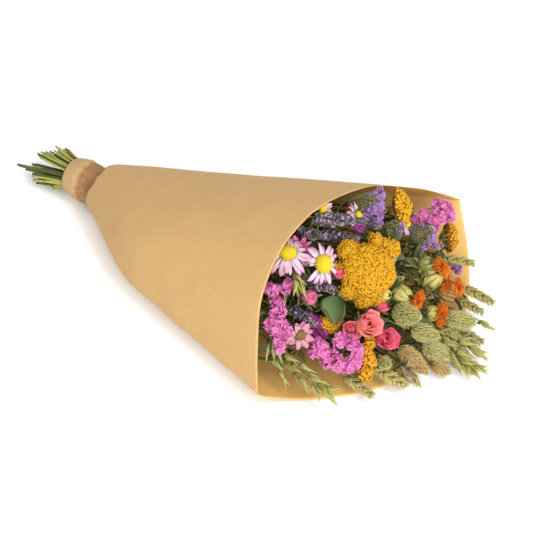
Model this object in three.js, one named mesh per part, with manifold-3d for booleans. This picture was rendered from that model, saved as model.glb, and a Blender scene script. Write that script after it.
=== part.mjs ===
// A mixed bouquet of dried wild flowers in its kraft paper wrap, lying on its side.
// Millimetres, +Z up. While it is built, the tie round the stems is at X = 0, the flowers lie
// towards +X, the cut stem ends towards -X, and the table is at Z = 0. The last lines move the
// whole bunch so that its origin is on the table, under the middle of its bounding box.

import * as THREE from "three";
import { mergeVertices } from "three/addons/utils/BufferGeometryUtils.js";
import Module from "manifold-3d";

const wasm = await Module();
wasm.setup();
const { Manifold, Mesh: SolidMesh } = wasm;

// ---------------------------------------------------------------- driving dimensions

const GAP = 0.3; // what touching pieces keep clear of each other
const TIE_HEIGHT = 25; // the middle of the tied stems over the table
const BUNDLE_RADIUS = 14; // the stems where they are tied
const BUNDLE_LENGTH = 44;
const STEM_RADIUS = 1.4;
const CUT_STEMS = 32;
const STEM_TAIL = 82; // from the tied part to the longest cut end
const LONGEST_STEM = 3;
const STEM_FAN = 0.45; // how far the longest one leans out, as a share of its place in the bundle
const SINK = 0.13; // how fast the cuff and the cut ends sink towards the table behind the tie

const PAPER = 0.9;
const NECK_X = 12; // where the paper cone starts
const NECK_RADIUS = 25;
const NECK_SLANT = 0.04; // how far the neck's upper edge is cut back, as a share of the cone
const RIM_CREST = [310, -35, 151]; // the highest point of the paper's mouth
const FAR_CORNER = [350, 168, 55];
const NEAR_CORNER = [332, -152, 20];
const LOWER_LIP = [427, 8, 0];
const NEAR_BELLY = 26; // how far the near side bulges past a straight cone

const CUFF_START = -26;
const CUFF_END = 26;
const CUFF_FOLDS = 7;
const BAND_X = 6;
const BAND_WIDTH = 6;
const BAND_THICK = 1.6;

const COLOURS = {
  kraft: "#e0b882",
  kraftCuff: "#cda573",
  rubber: "#9a7a48",
  stem: "#8f9350",
  yarrow: "#f0b414",
  orangeYarrow: "#e09018",
  pink: "#e064c8",
  purple: "#9664cd",
  lavender: "#6e647f",
  petalPink: "#f3b4d4",
  disc: "#f6d21e",
  magenta: "#d2468f",
  coral: "#ee7a72",
  deepRose: "#dc3c70",
  budPink: "#f078a8",
  safflower: "#ee6c12",
  safflowerGreen: "#a8ac64",
  canary: "#bcbc84",
  wheat: "#bcb26e",
  oat: "#a3ad60",
  greyLeaf: "#73915a",
  darkLeaf: "#465a32",
};

// ---------------------------------------------------------------- solids from rings of points

const UP = new THREE.Vector3(0, 0, 1);
const vec = (x, y, z) => new THREE.Vector3(x, y, z);
const lerp = THREE.MathUtils.lerp;
const GOLDEN = Math.PI * (3 - Math.sqrt(5));
const middleHeight = (x) => TIE_HEIGHT + Math.min(0, x) * SINK;

// Repeatable random numbers from 0 to 1.
function dice(seed) {
  let state = seed;
  return () => {
    state = (state * 1664525 + 1013904223) % 4294967296;
    return state / 4294967296;
  };
}

// A skin over a row of rings that have the same number of points. The row either closes on
// itself, as a tube wall does, or has a flat cap at each end. A ring of one point is a tip. With
// peaks, the faces' diagonals join the even points, so that the odd ones between stand free.
function loft(rings, { closes = false, peaks = false } = {}) {
  const sides = Math.max(...rings.map((ring) => ring.length));
  const points = [];
  const starts = [];
  for (const ring of rings) {
    starts.push(points.length);
    points.push(...ring);
  }
  const at = (k, j) => starts[k] + (rings[k].length === 1 ? 0 : j % sides);
  const faces = [];
  const lastPair = closes ? rings.length : rings.length - 1;
  for (let k = 0; k < lastPair; k++) {
    const next = (k + 1) % rings.length;
    for (let j = 0; j < sides; j++) {
      const across = peaks && (j + k) % 2 === 0 ? 1 : 0;
      const pole = rings[k].length === 1 || rings[next].length === 1;
      if (pole || !across) {
        if (rings[k].length > 1) faces.push(at(k, j), at(k, j + 1), at(next, j));
        if (rings[next].length > 1) faces.push(at(k, j + 1), at(next, j + 1), at(next, j));
      } else {
        faces.push(at(k, j), at(k, j + 1), at(next, j + 1), at(k, j), at(next, j + 1), at(next, j));
      }
    }
  }
  if (!closes) {
    const end = rings.length - 1;
    for (let j = 1; j < sides - 1; j++) {
      if (rings[0].length > 1) faces.push(at(0, 0), at(0, j + 1), at(0, j));
      if (rings[end].length > 1) faces.push(at(end, 0), at(end, j), at(end, j + 1));
    }
  }
  const geometry = new THREE.BufferGeometry().setFromPoints(points);
  geometry.setIndex(faces);
  return geometry;
}

// Six times the signed volume, which is below zero for a skin that is inside out.
function signedVolume(geometry) {
  const place = geometry.attributes.position;
  const index = geometry.index.array;
  const [a, b, c] = [vec(), vec(), vec()];
  let sum = 0;
  for (let i = 0; i < index.length; i += 3) {
    a.fromBufferAttribute(place, index[i]);
    b.fromBufferAttribute(place, index[i + 1]);
    c.fromBufferAttribute(place, index[i + 2]);
    sum += a.dot(b.cross(c));
  }
  return sum;
}

function solidOf(geometry) {
  const bare = geometry.clone();
  bare.deleteAttribute("normal");
  bare.deleteAttribute("uv");
  const merged = mergeVertices(bare, 1e-5);
  const triVerts = new Uint32Array(merged.index.array);
  if (signedVolume(merged) < 0) {
    for (let i = 0; i < triVerts.length; i += 3) {
      [triVerts[i], triVerts[i + 1]] = [triVerts[i + 1], triVerts[i]];
    }
  }
  const vertProperties = new Float32Array(merged.attributes.position.array);
  return new Manifold(new SolidMesh({ numProp: 3, vertProperties, triVerts }));
}

const fuse = (geometries) => Manifold.union(geometries.map(solidOf));

// The largest body of a solid, without the scraps that a cut leaves loose.
function largest(solid) {
  const bodies = solid.decompose();
  return bodies.reduce((best, body) => (body.volume() > best.volume() ? body : best));
}

function geometryOf(solid) {
  const { numProp, vertProperties, triVerts } = solid.getMesh();
  const geometry = new THREE.BufferGeometry();
  const places = new Float32Array((vertProperties.length / numProp) * 3);
  for (let i = 0; i < places.length / 3; i++) {
    for (let k = 0; k < 3; k++) places[i * 3 + k] = vertProperties[i * numProp + k];
  }
  geometry.setAttribute("position", new THREE.BufferAttribute(places, 3));
  geometry.setIndex(new THREE.BufferAttribute(new Uint32Array(triVerts), 1));
  return geometry;
}

// ---------------------------------------------------------------- small shapes of plants

// A ring of points round a centre, square to a direction.
function ringRound(centre, direction, radius, sides, turn = 0) {
  const turned = new THREE.Quaternion().setFromUnitVectors(UP, direction.clone().normalize());
  return Array.from({ length: sides }, (_, j) => {
    const angle = turn + (j / sides) * 2 * Math.PI;
    return vec(radius * Math.cos(angle), radius * Math.sin(angle), 0)
      .applyQuaternion(turned)
      .add(centre);
  });
}

// A stalk along a curve, thinner towards its end.
function stalk(curve, radius, { sides = 4, steps = 3, taper = 0.8, grow = 0 } = {}) {
  const rings = [];
  for (let k = 0; k <= steps; k++) {
    const thick = radius * lerp(1, taper, k / steps) + grow;
    rings.push(ringRound(curve.getPoint(k / steps), curve.getTangent(k / steps), thick, sides));
  }
  return loft(rings);
}

// A seed, bud or scale that grows along +Z: a point, a four-sided belly and a tip.
function seed(length, width, depth, belly = 0.4) {
  const z = length * belly;
  const [x, y] = [width / 2, depth / 2];
  const waist = [vec(x, 0, z), vec(0, y, z), vec(-x, 0, z), vec(0, -y, z)];
  return loft([[vec(0, 0, 0)], waist, [vec(0, 0, length)]]);
}

// A petal or leaf that grows along +Z and bends towards +X. Its section is a flat diamond, and
// cup lifts its two edges. The widths are shares of the full width from base to tip.
function blade({ length, width, bend = 0, thick = 1.4, cup = 0, widths = [0.35, 1, 0.75, 0] }) {
  const rings = [];
  const last = widths.length - 1;
  const middle = vec(0, 0, 0);
  for (let k = 0; k <= last; k++) {
    const lean = (bend * k) / last;
    const across = vec(Math.cos(lean), 0, -Math.sin(lean));
    const half = (widths[k] * width) / 2;
    const edge = (side) => middle.clone().addScaledVector(across, -cup * half).setY(side * half);
    const face = (side) => middle.clone().addScaledVector(across, (side * thick) / 2);
    rings.push(half === 0 ? [middle.clone()] : [edge(1), face(1), edge(-1), face(-1)]);
    const ahead = (bend * (k + 0.5)) / last;
    middle.add(vec(Math.sin(ahead), 0, Math.cos(ahead)).multiplyScalar(length / last));
  }
  return loft(rings);
}

// Moves a shape: it is leant over towards +X, swung round +Z and shifted.
function put(geometry, { lean, swing, at }) {
  const turned = new THREE.Matrix4().makeRotationZ(swing);
  turned.multiply(new THREE.Matrix4().makeRotationY(lean));
  return geometry.applyMatrix4(turned.setPosition(at));
}

// A plain egg, the core that petals stand on.
function globe(width, height, sides = 8, rows = 4) {
  const profile = [];
  for (let k = 0; k <= rows; k++) {
    const angle = (k / rows) * Math.PI;
    profile.push(new THREE.Vector2((Math.sin(angle) * width) / 2, (-Math.cos(angle) * height) / 2));
  }
  profile[0].x = 0;
  profile[rows].x = 0;
  const ring = ({ x, y }) => (x === 0 ? [vec(0, 0, y)] : ringRound(vec(0, 0, y), UP, x, sides));
  return loft(profile.map(ring));
}

// ---------------------------------------------------------------- flower heads
// Each head is made with its middle at the origin and looks along +Z. A maker gives the list of
// shapes that are fused into the head.

// A closed head turned from a profile of [height, radius], whose points are raised in turn, as
// florets, buds or scales stand out. raise is outwards and lift is towards the head's tip. A
// third number in a row is the share of them that the row gets.
function relief(profile, sides, raise, lift = 0) {
  const last = profile.length - 1;
  const rings = profile.map(([z, radius, share = 1], k) => {
    if (radius === 0) return [vec(0, 0, z)];
    const [lowZ, lowR] = profile[Math.max(0, k - 1)];
    const [highZ, highR] = profile[Math.min(last, k + 1)];
    const out = new THREE.Vector2(highZ - lowZ, lowR - highR).normalize();
    return Array.from({ length: sides }, (_, j) => {
      const up = share * ((j + k) % 2);
      const reach = radius + up * raise * out.x;
      const angle = (j / sides) * 2 * Math.PI;
      return vec(reach * Math.cos(angle), reach * Math.sin(angle), z + up * (raise * out.y + lift));
    });
  });
  return loft(rings, { peaks: true });
}

// Rows of a profile along an egg, from its foot to its tip.
function eggProfile(width, length, rows, fullness = 1) {
  return Array.from({ length: rows + 1 }, (_, k) => {
    const radius = k === 0 || k === rows ? 0 : (width / 2) * Math.sin((k / rows) * Math.PI) ** fullness;
    return [(-Math.cos((k / rows) * Math.PI) * length) / 2, radius];
  });
}

// Yarrow: a shallow dome covered with small round florets, on a green umbel of short stalks.
function yarrowDome(width, height, floret) {
  const sides = 2 * Math.max(5, Math.round((width * 0.4) / floret));
  const rows = Math.max(3, Math.round(width / floret / 4));
  const profile = [[-height * 0.8, 0], [-height * 0.25, width * 0.4]];
  for (let k = 0; k < rows; k++) {
    const angle = (k / rows) * (Math.PI / 2);
    profile.push([height * 0.9 * Math.sin(angle), (width / 2 - floret * 0.4) * Math.cos(angle) ** 0.8]);
  }
  profile.push([height * 0.95, 0]);
  return relief(profile, sides, floret);
}

function yarrow({ width, height, floret = 2.3, lobes = [] }) {
  const shapes = [yarrowDome(width, height, floret)];
  for (const { x, y, size } of lobes) {
    const dome = yarrowDome(size, height * 0.8, floret);
    shapes.push(dome.translate(x, y, -height * 0.15));
    const branch = new THREE.LineCurve3(vec(x * 0.3, y * 0.3, -height * 0.5), vec(x, y, -height * 0.1));
    shapes.push(stalk(branch, 2.4, { steps: 1 }));
  }
  return shapes;
}

// Statice: papery funnels packed on a branch, which stand well out of it.
function statice({ length, width, sides = 12, rows = 7, floret = 4 }) {
  return [relief(eggProfile(width - floret * 1.6, length - floret, rows, 0.7), sides, floret)];
}

// Lavender: rings of four small buds, one over the other, with a waist between them.
function lavender({ length, width, rings }) {
  const profile = [[-length / 2, 0]];
  for (let k = 0; k < rings; k++) {
    const share = (k + 0.5) / rings;
    const size = lerp(1, 0.6, share);
    profile.push([lerp(-length / 2, length / 2, share - 0.32 / rings), width * 0.14 * size]);
    profile.push([lerp(-length / 2, length / 2, share), width * 0.26 * size]);
  }
  profile.push([length / 2, 0]);
  return [relief(profile, 8, width * 0.2, width * 0.18)];
}

// The ray petals of a daisy on their green cup. They lie open, and their tips hang back.
function daisyPetals({ width, petals, cup, droop = 0.7, open = 1.35 }) {
  const shapes = [globe(cup, cup * 0.9, 6, 3).translate(0, 0, -cup * 0.32)];
  const length = (width - cup * 0.45) / 2;
  for (let j = 0; j < petals; j++) {
    const across = (width * 2.2) / petals;
    const petal = blade({ length, width: across, bend: droop, widths: [0.3, 1, 0.35] });
    const swing = (j / petals) * 2 * Math.PI;
    const root = vec(cup * 0.24, 0, -0.6 - (j % 2) * 0.8).applyAxisAngle(UP, swing);
    shapes.push(put(petal, { lean: open + (j % 2) * 0.12, swing, at: root }));
  }
  return shapes;
}

// The raised yellow disc, a low dome of tiny florets.
function daisyDisc({ width, height }) {
  const rows = [[0, 0], [0, 0.44], [0.45, 0.42], [0.8, 0.24], [1, 0]];
  return [relief(rows.map(([z, r]) => [z * height, r * width]), 12, width * 0.07)];
}

// A small dried rose: two scalloped layers of cupped petals round a tight heart. Each layer
// rises to its edge and falls back into the groove behind the next one.
function rose({ width }) {
  const radius = width / 2;
  const depth = width * 0.8;
  const rows = [
    { z: -0.5, r: 0, wave: 0 },
    { z: -0.38, r: 0.45, wave: 0 },
    { z: 0, r: 0.88, wave: 0.06 },
    { z: 0.22, r: 1, wave: 0.16 },
    { z: 0.24, r: 0.84, wave: 0.16 },
    { z: 0, r: 0.6, wave: 0 },
    { z: 0.36, r: 0.62, wave: -0.14 },
    { z: 0.38, r: 0.46, wave: -0.14 },
    { z: 0.12, r: 0.28, wave: 0 },
    { z: 0.45, r: 0.2, wave: 0.1 },
    { z: 0.5, r: 0, wave: 0 },
  ];
  const petals = 5;
  const sides = petals * 3;
  const rings = rows.map(({ z, r, wave }) => {
    if (r === 0) return [vec(0, 0, z * depth)];
    return Array.from({ length: sides }, (_, j) => {
      const angle = (j / sides) * 2 * Math.PI;
      const scallop = wave * Math.cos(petals * angle);
      const reach = radius * r * (1 + scallop);
      return vec(reach * Math.cos(angle), reach * Math.sin(angle), depth * (z + scallop * 0.5));
    });
  });
  return [loft(rings)];
}

// A closed bud: narrow petals that wrap a pointed egg.
function bud({ width, length, petals = 4 }) {
  const shapes = [globe(width * 0.62, length * 0.8, 5, 4)];
  for (let j = 0; j < petals; j++) {
    const petal = blade({ length, width: width * 0.5, bend: -0.7, cup: 0.2, widths: [0.3, 1, 0] });
    const swing = (j / petals) * 2 * Math.PI;
    const root = vec(width * 0.16, 0, -length * 0.45).applyAxisAngle(UP, swing);
    shapes.push(put(petal, { lean: 0.62, swing, at: root }));
  }
  return shapes;
}

// A safflower bud: a round green head in pointed bracts, with a flat top for its tuft.
function safflowerBud({ width }) {
  const lower = [[-0.5, 0], [-0.36, 0.24], [-0.12, 0.4]];
  const rows = [...lower, [0.14, 0.42], [0.34, 0.32], [0.42, 0.22, 0], [0.42, 0]];
  const profile = rows.map(([z, r, share]) => [z * width, r * width, share]);
  return [relief(profile, 12, width * 0.1, width * 0.08)];
}

// The orange brush that stands on a safflower bud: two rings of pointed florets and a middle one.
function safflowerTuft({ width, height }) {
  const sides = 14;
  const crown = (outer, inner, high, low) =>
    Array.from({ length: sides }, (_, j) => {
      const [r, z] = j % 2 ? [inner, low] : [outer, high];
      const angle = (j / sides) * 2 * Math.PI;
      return vec(r * Math.cos(angle), r * Math.sin(angle), z);
    });
  const radius = width / 2;
  return [
    loft([
      ringRound(vec(0, 0, 0), UP, width * 0.13, sides),
      crown(radius, radius * 0.4, height * 0.7, height * 0.4),
      crown(radius * 0.45, radius * 0.3, height * 0.55, height * 0.5),
      crown(radius * 0.25, radius * 0.4, height * 0.6, height * 0.95),
      [vec(0, 0, height * 0.5)],
    ]),
  ];
}

// Canary grass: a broad egg of overlapping pointed scales.
function canaryHead({ width, length, rows = 8, sides = 12 }) {
  const scale = width * 0.12;
  const profile = eggProfile(width - scale * 2, length * 0.86, rows, 0.85);
  return [relief(profile, sides, scale, length * 0.09)];
}

// An ear of wheat: plump spikelets in two rows that meet in turn, one left and one right.
function wheatEar({ length, width, spikelets = 9 }) {
  const rings = [[vec(0, 0, -length / 2)]];
  for (let k = 0; k < spikelets; k++) {
    const share = (k + 0.5) / spikelets;
    const size = Math.sin(Math.PI * lerp(0.25, 0.88, share));
    const side = k % 2 ? -1 : 1;
    const spikelet = (z, near, far) => [
      vec(side * near * width * size, 0, z + width * 0.2),
      vec(0, width * 0.26 * size * (near * 2), z),
      vec(-side * far * width * size, 0, z),
      vec(0, -width * 0.26 * size * (near * 2), z),
    ];
    const turned = (ring) => (side > 0 ? ring : [ring[2], ring[1], ring[0], ring[3]]);
    const height = (part) => lerp(-length / 2, length / 2, part);
    rings.push(turned(spikelet(height(share - 0.4 / spikelets), 0.22, 0.3)));
    rings.push(turned(spikelet(height(share + 0.15 / spikelets), 0.54, 0.22)));
  }
  rings.push([vec(0, 0, length / 2 + width * 0.3)]);
  return [loft(rings)];
}

// Two ears whose stalks fork low down, the second one beside and under the first.
function wheatPair({ length, width, apart }) {
  const second = wheatEar({ length: length * 0.9, width: width * 0.9, spikelets: 8 });
  const beside = vec(-apart, -apart * 0.4, 0);
  const fork = new THREE.LineCurve3(vec(0, 0, -length / 2), beside.clone().setZ(-length * 0.4));
  return [
    ...wheatEar({ length, width }),
    ...second.map((shape) => shape.translate(...beside)),
    stalk(fork, 1.3, { steps: 1, taper: 1 }),
  ];
}

// Oats: a bent stalk with thin side branches, and on each a hanging spikelet of two husks.
function oatPanicle({ length, spread, spikelets, husk = 17 }) {
  const tip = vec(6, 0, length / 2 - husk);
  const main = new THREE.QuadraticBezierCurve3(vec(0, 0, -length / 2), vec(2, 0, 0), tip);
  const shapes = [stalk(main, 0.9, { sides: 3, steps: 2, taper: 0.7 })];
  for (let k = 0; k < spikelets; k++) {
    const share = k / (spikelets - 1);
    const start = main.getPoint(lerp(0.12, 0.98, share));
    const swing = k * GOLDEN;
    const reach = spread * 0.5 * lerp(1, 0.25, share);
    const end = vec(reach, 0, husk * 0.7).applyAxisAngle(UP, swing).add(start);
    shapes.push(stalk(new THREE.LineCurve3(start, end), 0.6, { sides: 3, steps: 1, taper: 1 }));
    for (const side of [-1, 1]) {
      const shell = seed(husk, husk * 0.26, husk * 0.18, 0.4);
      shapes.push(put(shell, { lean: 0.4 + side * 0.3, swing, at: end.clone().add(vec(0, 0, -1)) }));
    }
  }
  return shapes;
}

// A leafy tip: blades one over the other round a short stalk.
function leafyTip({ length, width, leaves, lean = 0.8, bend = 0.4 }) {
  const stem = new THREE.LineCurve3(vec(0, 0, -length / 2), vec(0, 0, length * 0.2));
  const shapes = [stalk(stem, 1.4, { sides: 3, steps: 1 })];
  for (let k = 0; k < leaves; k++) {
    const leaf = blade({ length: length * 0.75, width, bend, cup: 0.25, widths: [0.3, 1, 0.7, 0] });
    const z = lerp(-length * 0.4, length * 0.1, k / Math.max(1, leaves - 1));
    shapes.push(put(leaf, { lean: lean - k * 0.08, swing: k * 2.2, at: vec(0, 0, z) }));
  }
  return shapes;
}

// ---------------------------------------------------------------- the kraft paper wrap

const MOUTH_MIDDLE_X = 309; // how far forward the mouth reaches at its crest, on the near side
const FLAT_SHARE = 0.8; // beyond this share of the lower half the paper lies on the table
const PAPER_COLUMNS = 36;
const PAPER_ROWS = [0, 0.14, 0.3, 0.42, 0.7, 1];

// The paper's mouth. The angle starts at the far corner and goes over the crest to the near
// corner, and back along the table.
function mouthPoint(angle) {
  const side = Math.cos(angle);
  const rise = Math.sin(angle);
  const out = Math.abs(side);
  const corner = side >= 0 ? FAR_CORNER : NEAR_CORNER;
  if (rise >= 0) {
    const [crestX, turn] = side >= 0 ? [RIM_CREST[0], 2.2] : [MOUTH_MIDDLE_X, 5];
    const forward = lerp(crestX, corner[0], out ** turn);
    const drop = side >= 0 ? out ** 1.65 : 1 - (1 - out ** 2.2) ** (1 / 2.2);
    return vec(forward, lerp(RIM_CREST[1], corner[1], out), lerp(RIM_CREST[2], corner[2], drop));
  }
  const under = -rise;
  const lift = Math.max(0, 1 - under / (side >= 0 ? 0.85 : FLAT_SHARE)) ** (side >= 0 ? 1.1 : 1.4);
  const forward = lerp(corner[0], LOWER_LIP[0], under ** (side >= 0 ? 2 : 2.4));
  return vec(forward, lerp(LOWER_LIP[1], corner[1], out), corner[2] * (under > 0.85 ? 0 : lift));
}

// The neck is round above and pressed flat on the table below.
function neckPoint(angle) {
  const rise = Math.sin(angle);
  const height = rise >= 0 ? 1 + rise : Math.max(0, 1 + rise / FLAT_SHARE);
  return vec(NECK_X, NECK_RADIUS * Math.cos(angle), NECK_RADIUS * height);
}

// How far the near side stands out of the straight cone: it flares fast, then runs straight.
function belly(share) {
  const rise = THREE.MathUtils.smoothstep(share, -0.05, 0.36);
  const fall = 1 - THREE.MathUtils.clamp((share - 0.42) / 0.58, 0, 1);
  return NEAR_BELLY * rise * fall;
}

function paperPoint(along, angle) {
  const share = lerp(NECK_SLANT * THREE.MathUtils.smoothstep(Math.sin(angle), -0.3, 1), 1, along);
  const point = neckPoint(angle).lerp(mouthPoint(angle), share);
  point.y -= belly(share) * Math.max(0, -Math.cos(angle));
  return point;
}

// Rings of the paper's outer face, moved out along its normal.
function paperRings(offset, extend) {
  const step = 1e-3;
  return PAPER_ROWS.map((row) => {
    const share = row === 0 ? -extend : row === 1 ? 1 + extend : row;
    return Array.from({ length: PAPER_COLUMNS }, (_, j) => {
      const angle = (j / PAPER_COLUMNS) * 2 * Math.PI;
      const along = paperPoint(share + step, angle).sub(paperPoint(share - step, angle));
      const round = paperPoint(share, angle + step).sub(paperPoint(share, angle - step));
      const normal = round.cross(along).normalize();
      return paperPoint(share, angle).addScaledVector(normal, offset);
    });
  });
}

// The wrap, and with room above 0 the space that other pieces leave round it.
function paperCone(room) {
  const extend = room / (LOWER_LIP[0] - NECK_X);
  const outside = paperRings(room, extend);
  const inside = paperRings(-PAPER - room, extend);
  return solidOf(loft([...outside, ...inside.reverse()], { closes: true }));
}

// ---------------------------------------------------------------- the cuff and the tie

// The gathered collar of the same paper that comes out of the wrap's neck round the stems:
// an open round lip, a full shoulder that sinks with the stems, and a folded waist.
function paperCuff() {
  const profile = [
    [CUFF_START, 18.9, 0],
    [CUFF_START + 4.5, 20.3, 0.2],
    [-10, 20.7, 0.5],
    [BAND_X - 1, 18.35, 0.8],
    [BAND_X + 5, 18.2, 0.8],
    [CUFF_END, 19.4, 1.2],
  ];
  const columns = 20;
  const ring = ([x, radius, folds], inward) =>
    Array.from({ length: columns }, (_, j) => {
      const angle = (j / columns) * 2 * Math.PI;
      const ripple = folds * Math.cos(CUFF_FOLDS * angle + x * 0.05);
      const reach = radius + ripple - inward;
      return vec(x, reach * Math.cos(angle), middleHeight(x) + reach * Math.sin(angle));
    });
  const outer = profile.map((row) => ring(row, 0));
  const inner = profile.map((row) => ring(row, PAPER));
  return solidOf(loft([...outer, ...inner.reverse()], { closes: true }));
}

// The rubber band round the stems, a ring with a rounded section, under the cuff's waist.
function rubberBand() {
  const inside = BUNDLE_RADIUS + GAP + 0.2;
  const outside = inside + BAND_THICK;
  const section = [
    [inside, -BAND_WIDTH / 2],
    [outside, -BAND_WIDTH / 4],
    [outside, BAND_WIDTH / 4],
    [inside, BAND_WIDTH / 2],
    [inside, -BAND_WIDTH / 2],
  ];
  const band = new THREE.LatheGeometry(section.map(([r, x]) => new THREE.Vector2(r, x)), 20);
  band.rotateZ(Math.PI / 2).translate(BAND_X, 0, TIE_HEIGHT);
  return solidOf(band);
}

// ---------------------------------------------------------------- where each head is
// at is the head's middle, faces the way it looks or points, and below how far under the middle
// its stem comes in. Sprays of several buds list them under heads.

const SPOTS = [
  {
    name: "yarrow_main", colour: "yarrow",
    at: [362, -23, 98], faces: [0.62, -0.5, 0.6], below: 12,
    shapes: () => yarrow({
      width: 56, height: 20,
      lobes: [
        { x: 26, y: 18, size: 20 },
        { x: -24, y: 17, size: 20 },
        { x: 2, y: -31, size: 24 },
        { x: -24, y: -15, size: 18 },
      ],
    }),
  },
  {
    name: "yarrow_far", colour: "yarrow",
    at: [340, 62, 112], faces: [0.85, 0.27, 0.37], below: 8,
    shapes: () => yarrow({ width: 32, height: 13 }),
  },
  {
    name: "yarrow_right", colour: "yarrow",
    at: [367, 112, 49], faces: [0.7, 0.7, -0.05], below: 8,
    shapes: () => yarrow({ width: 30, height: 12 }),
  },
  {
    name: "yarrow_low", colour: "orangeYarrow",
    at: [390, -64, 31], faces: [0.7, -0.35, 0.62], below: 8,
    shapes: () => yarrow({
      width: 20, height: 11,
      lobes: [{ x: 8, y: 13, size: 17 }, { x: -6, y: -12, size: 17 }],
    }),
  },
  {
    name: "yarrow_deep", colour: "orangeYarrow",
    at: [348, -62, 51], faces: [0.75, -0.4, 0.5], below: 8,
    shapes: () => yarrow({ width: 24, height: 11 }),
  },
  {
    name: "statice_pink_near", colour: "pink",
    at: [319, -108, 74], faces: [-0.2, 0.3, 0.93], below: 26,
    shapes: () => statice({ length: 70, width: 26, rows: 12 }),
  },
  {
    name: "statice_pink_low", colour: "pink",
    at: [368, -84, 42], faces: [0.66, -0.4, 0.62], below: 14,
    shapes: () => statice({ length: 24, width: 46, sides: 18 }),
  },
  {
    name: "statice_pink_far", colour: "pink",
    at: [355, 97, 80], faces: [0.59, 0.54, 0.58], below: 13,
    shapes: () => statice({ length: 46, width: 28, rows: 8 }),
  },
  {
    name: "statice_pink_deep", colour: "magenta",
    at: [338, -74, 46], faces: [0.85, -0.2, 0.4], below: 9,
    shapes: () => statice({ length: 20, width: 18, sides: 8, rows: 5, floret: 3 }),
  },
  {
    name: "statice_purple_far", colour: "purple",
    at: [328, 33, 119], faces: [-0.2, 0.35, 0.92], below: 16,
    shapes: () => statice({ length: 42, width: 20, rows: 9 }),
  },
  {
    name: "statice_purple_mid", colour: "purple",
    at: [346, 42, 93], faces: [0.9, 0.1, 0.3], below: 10,
    shapes: () => statice({ length: 24, width: 22 }),
  },
  {
    name: "statice_purple_right", colour: "purple",
    at: [362, 69, 78], faces: [0.85, 0.3, 0.3], below: 10,
    shapes: () => statice({ length: 24, width: 24 }),
  },
  {
    name: "statice_purple_edge", colour: "purple",
    at: [386, 100, 31], faces: [0.9, 0.2, 0.3], below: 6,
    shapes: () => statice({ length: 15, width: 13, sides: 8, rows: 4, floret: 3 }),
  },
  {
    name: "lavender_top", colour: "lavender",
    at: [320, -20, 137], faces: [0.93, 0.05, 0.34], below: 22,
    shapes: () => lavender({ length: 50, width: 12, rings: 6 }),
  },
  {
    name: "lavender_far", colour: "lavender",
    at: [334, 11, 115], faces: [0.93, 0.12, 0.3], below: 16,
    shapes: () => lavender({ length: 38, width: 12, rings: 4 }),
  },
  {
    name: "lavender_mid", colour: "lavender",
    at: [328, -18, 117], faces: [0.93, -0.02, 0.34], below: 22,
    shapes: () => lavender({ length: 46, width: 11, rings: 6 }),
  },
  {
    name: "lavender_near", colour: "lavender",
    at: [332, -57, 87], faces: [0.93, -0.15, 0.25], below: 17,
    shapes: () => lavender({ length: 38, width: 13, rings: 5 }),
  },
  {
    name: "lavender_low", colour: "lavender",
    at: [333, -84, 67], faces: [0.9, -0.25, 0.1], below: 15,
    shapes: () => lavender({ length: 34, width: 12, rings: 4 }),
  },
  {
    name: "lavender_deep", colour: "lavender",
    at: [308, -34, 121], faces: [0.93, -0.1, 0.3], below: 15,
    shapes: () => lavender({ length: 34, width: 11, rings: 4 }),
  },
  {
    name: "daisy_near_petals", colour: "petalPink",
    at: [308, -76, 126], faces: [0.13, -0.18, 0.97], below: 7,
    shapes: () => daisyPetals({ width: 40, petals: 12, cup: 11 }),
  },
  {
    name: "daisy_mid_petals", colour: "petalPink",
    at: [335, -59, 115], faces: [0.71, -0.2, 0.62], below: 7,
    shapes: () => daisyPetals({ width: 38, petals: 11, cup: 11, open: 1.2 }),
  },
  {
    name: "daisy_rim", colour: "petalPink",
    at: [303, -14, 137], faces: [0.9, -0.1, 0.3], below: 6,
    shapes: () => daisyPetals({ width: 21, petals: 8, cup: 8, open: 1 }),
  },
  {
    name: "daisy_side", colour: "petalPink",
    at: [350, 62, 92], faces: [0.85, 0.1, 0.35], below: 6,
    shapes: () => daisyPetals({ width: 24, petals: 8, cup: 8, open: 0.9 }),
  },
  {
    name: "daisy_low", colour: "petalPink",
    at: [338, -98, 58], faces: [0.7, -0.45, 0.5], below: 7,
    shapes: () => daisyPetals({ width: 34, petals: 9, cup: 11, open: 1.1 }),
  },
  {
    name: "magenta_bloom", colour: "magenta",
    at: [305, -56, 115], faces: [0.8, -0.2, 0.5], below: 6,
    shapes: () => daisyPetals({ width: 26, petals: 8, cup: 9, open: 1 }),
  },
  {
    name: "rose_coral", colour: "coral",
    at: [380, -48, 58], faces: [0.68, -0.4, 0.6], below: 9,
    shapes: () => {
      const [second] = rose({ width: 16 });
      return [...rose({ width: 25 }), second.translate(-17, -5, -3)];
    },
  },
  {
    name: "rose_deep", colour: "deepRose",
    at: [396, -37, 40], faces: [0.75, -0.3, 0.55], below: 10,
    shapes: () => rose({ width: 25 }),
  },
  {
    name: "rosebud_near", colour: "budPink",
    at: [333, -76, 86], faces: [0.8, -0.3, 0.45], below: 8,
    shapes: () => bud({ width: 15, length: 17 }),
  },
  {
    name: "rosebud_mid", colour: "deepRose",
    at: [346, -48, 102], faces: [0.85, -0.3, 0.4], below: 6,
    shapes: () => bud({ width: 11, length: 13 }),
  },
  {
    name: "rosebud_low", colour: "budPink",
    at: [389, -31, 63], faces: [0.85, -0.1, 0.45], below: 6,
    shapes: () => bud({ width: 11, length: 14 }),
  },
  {
    name: "safflower_bud_far", colour: "safflowerGreen",
    at: [392, 45, 52], faces: [0.4, 0.4, 0.82], below: 8,
    shapes: () => safflowerBud({ width: 22 }),
  },
  {
    name: "safflower_bud_right", colour: "safflowerGreen",
    at: [395, 58, 40], faces: [0.85, 0.45, 0.25], below: 7,
    shapes: () => safflowerBud({ width: 14 }),
  },
  {
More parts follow.
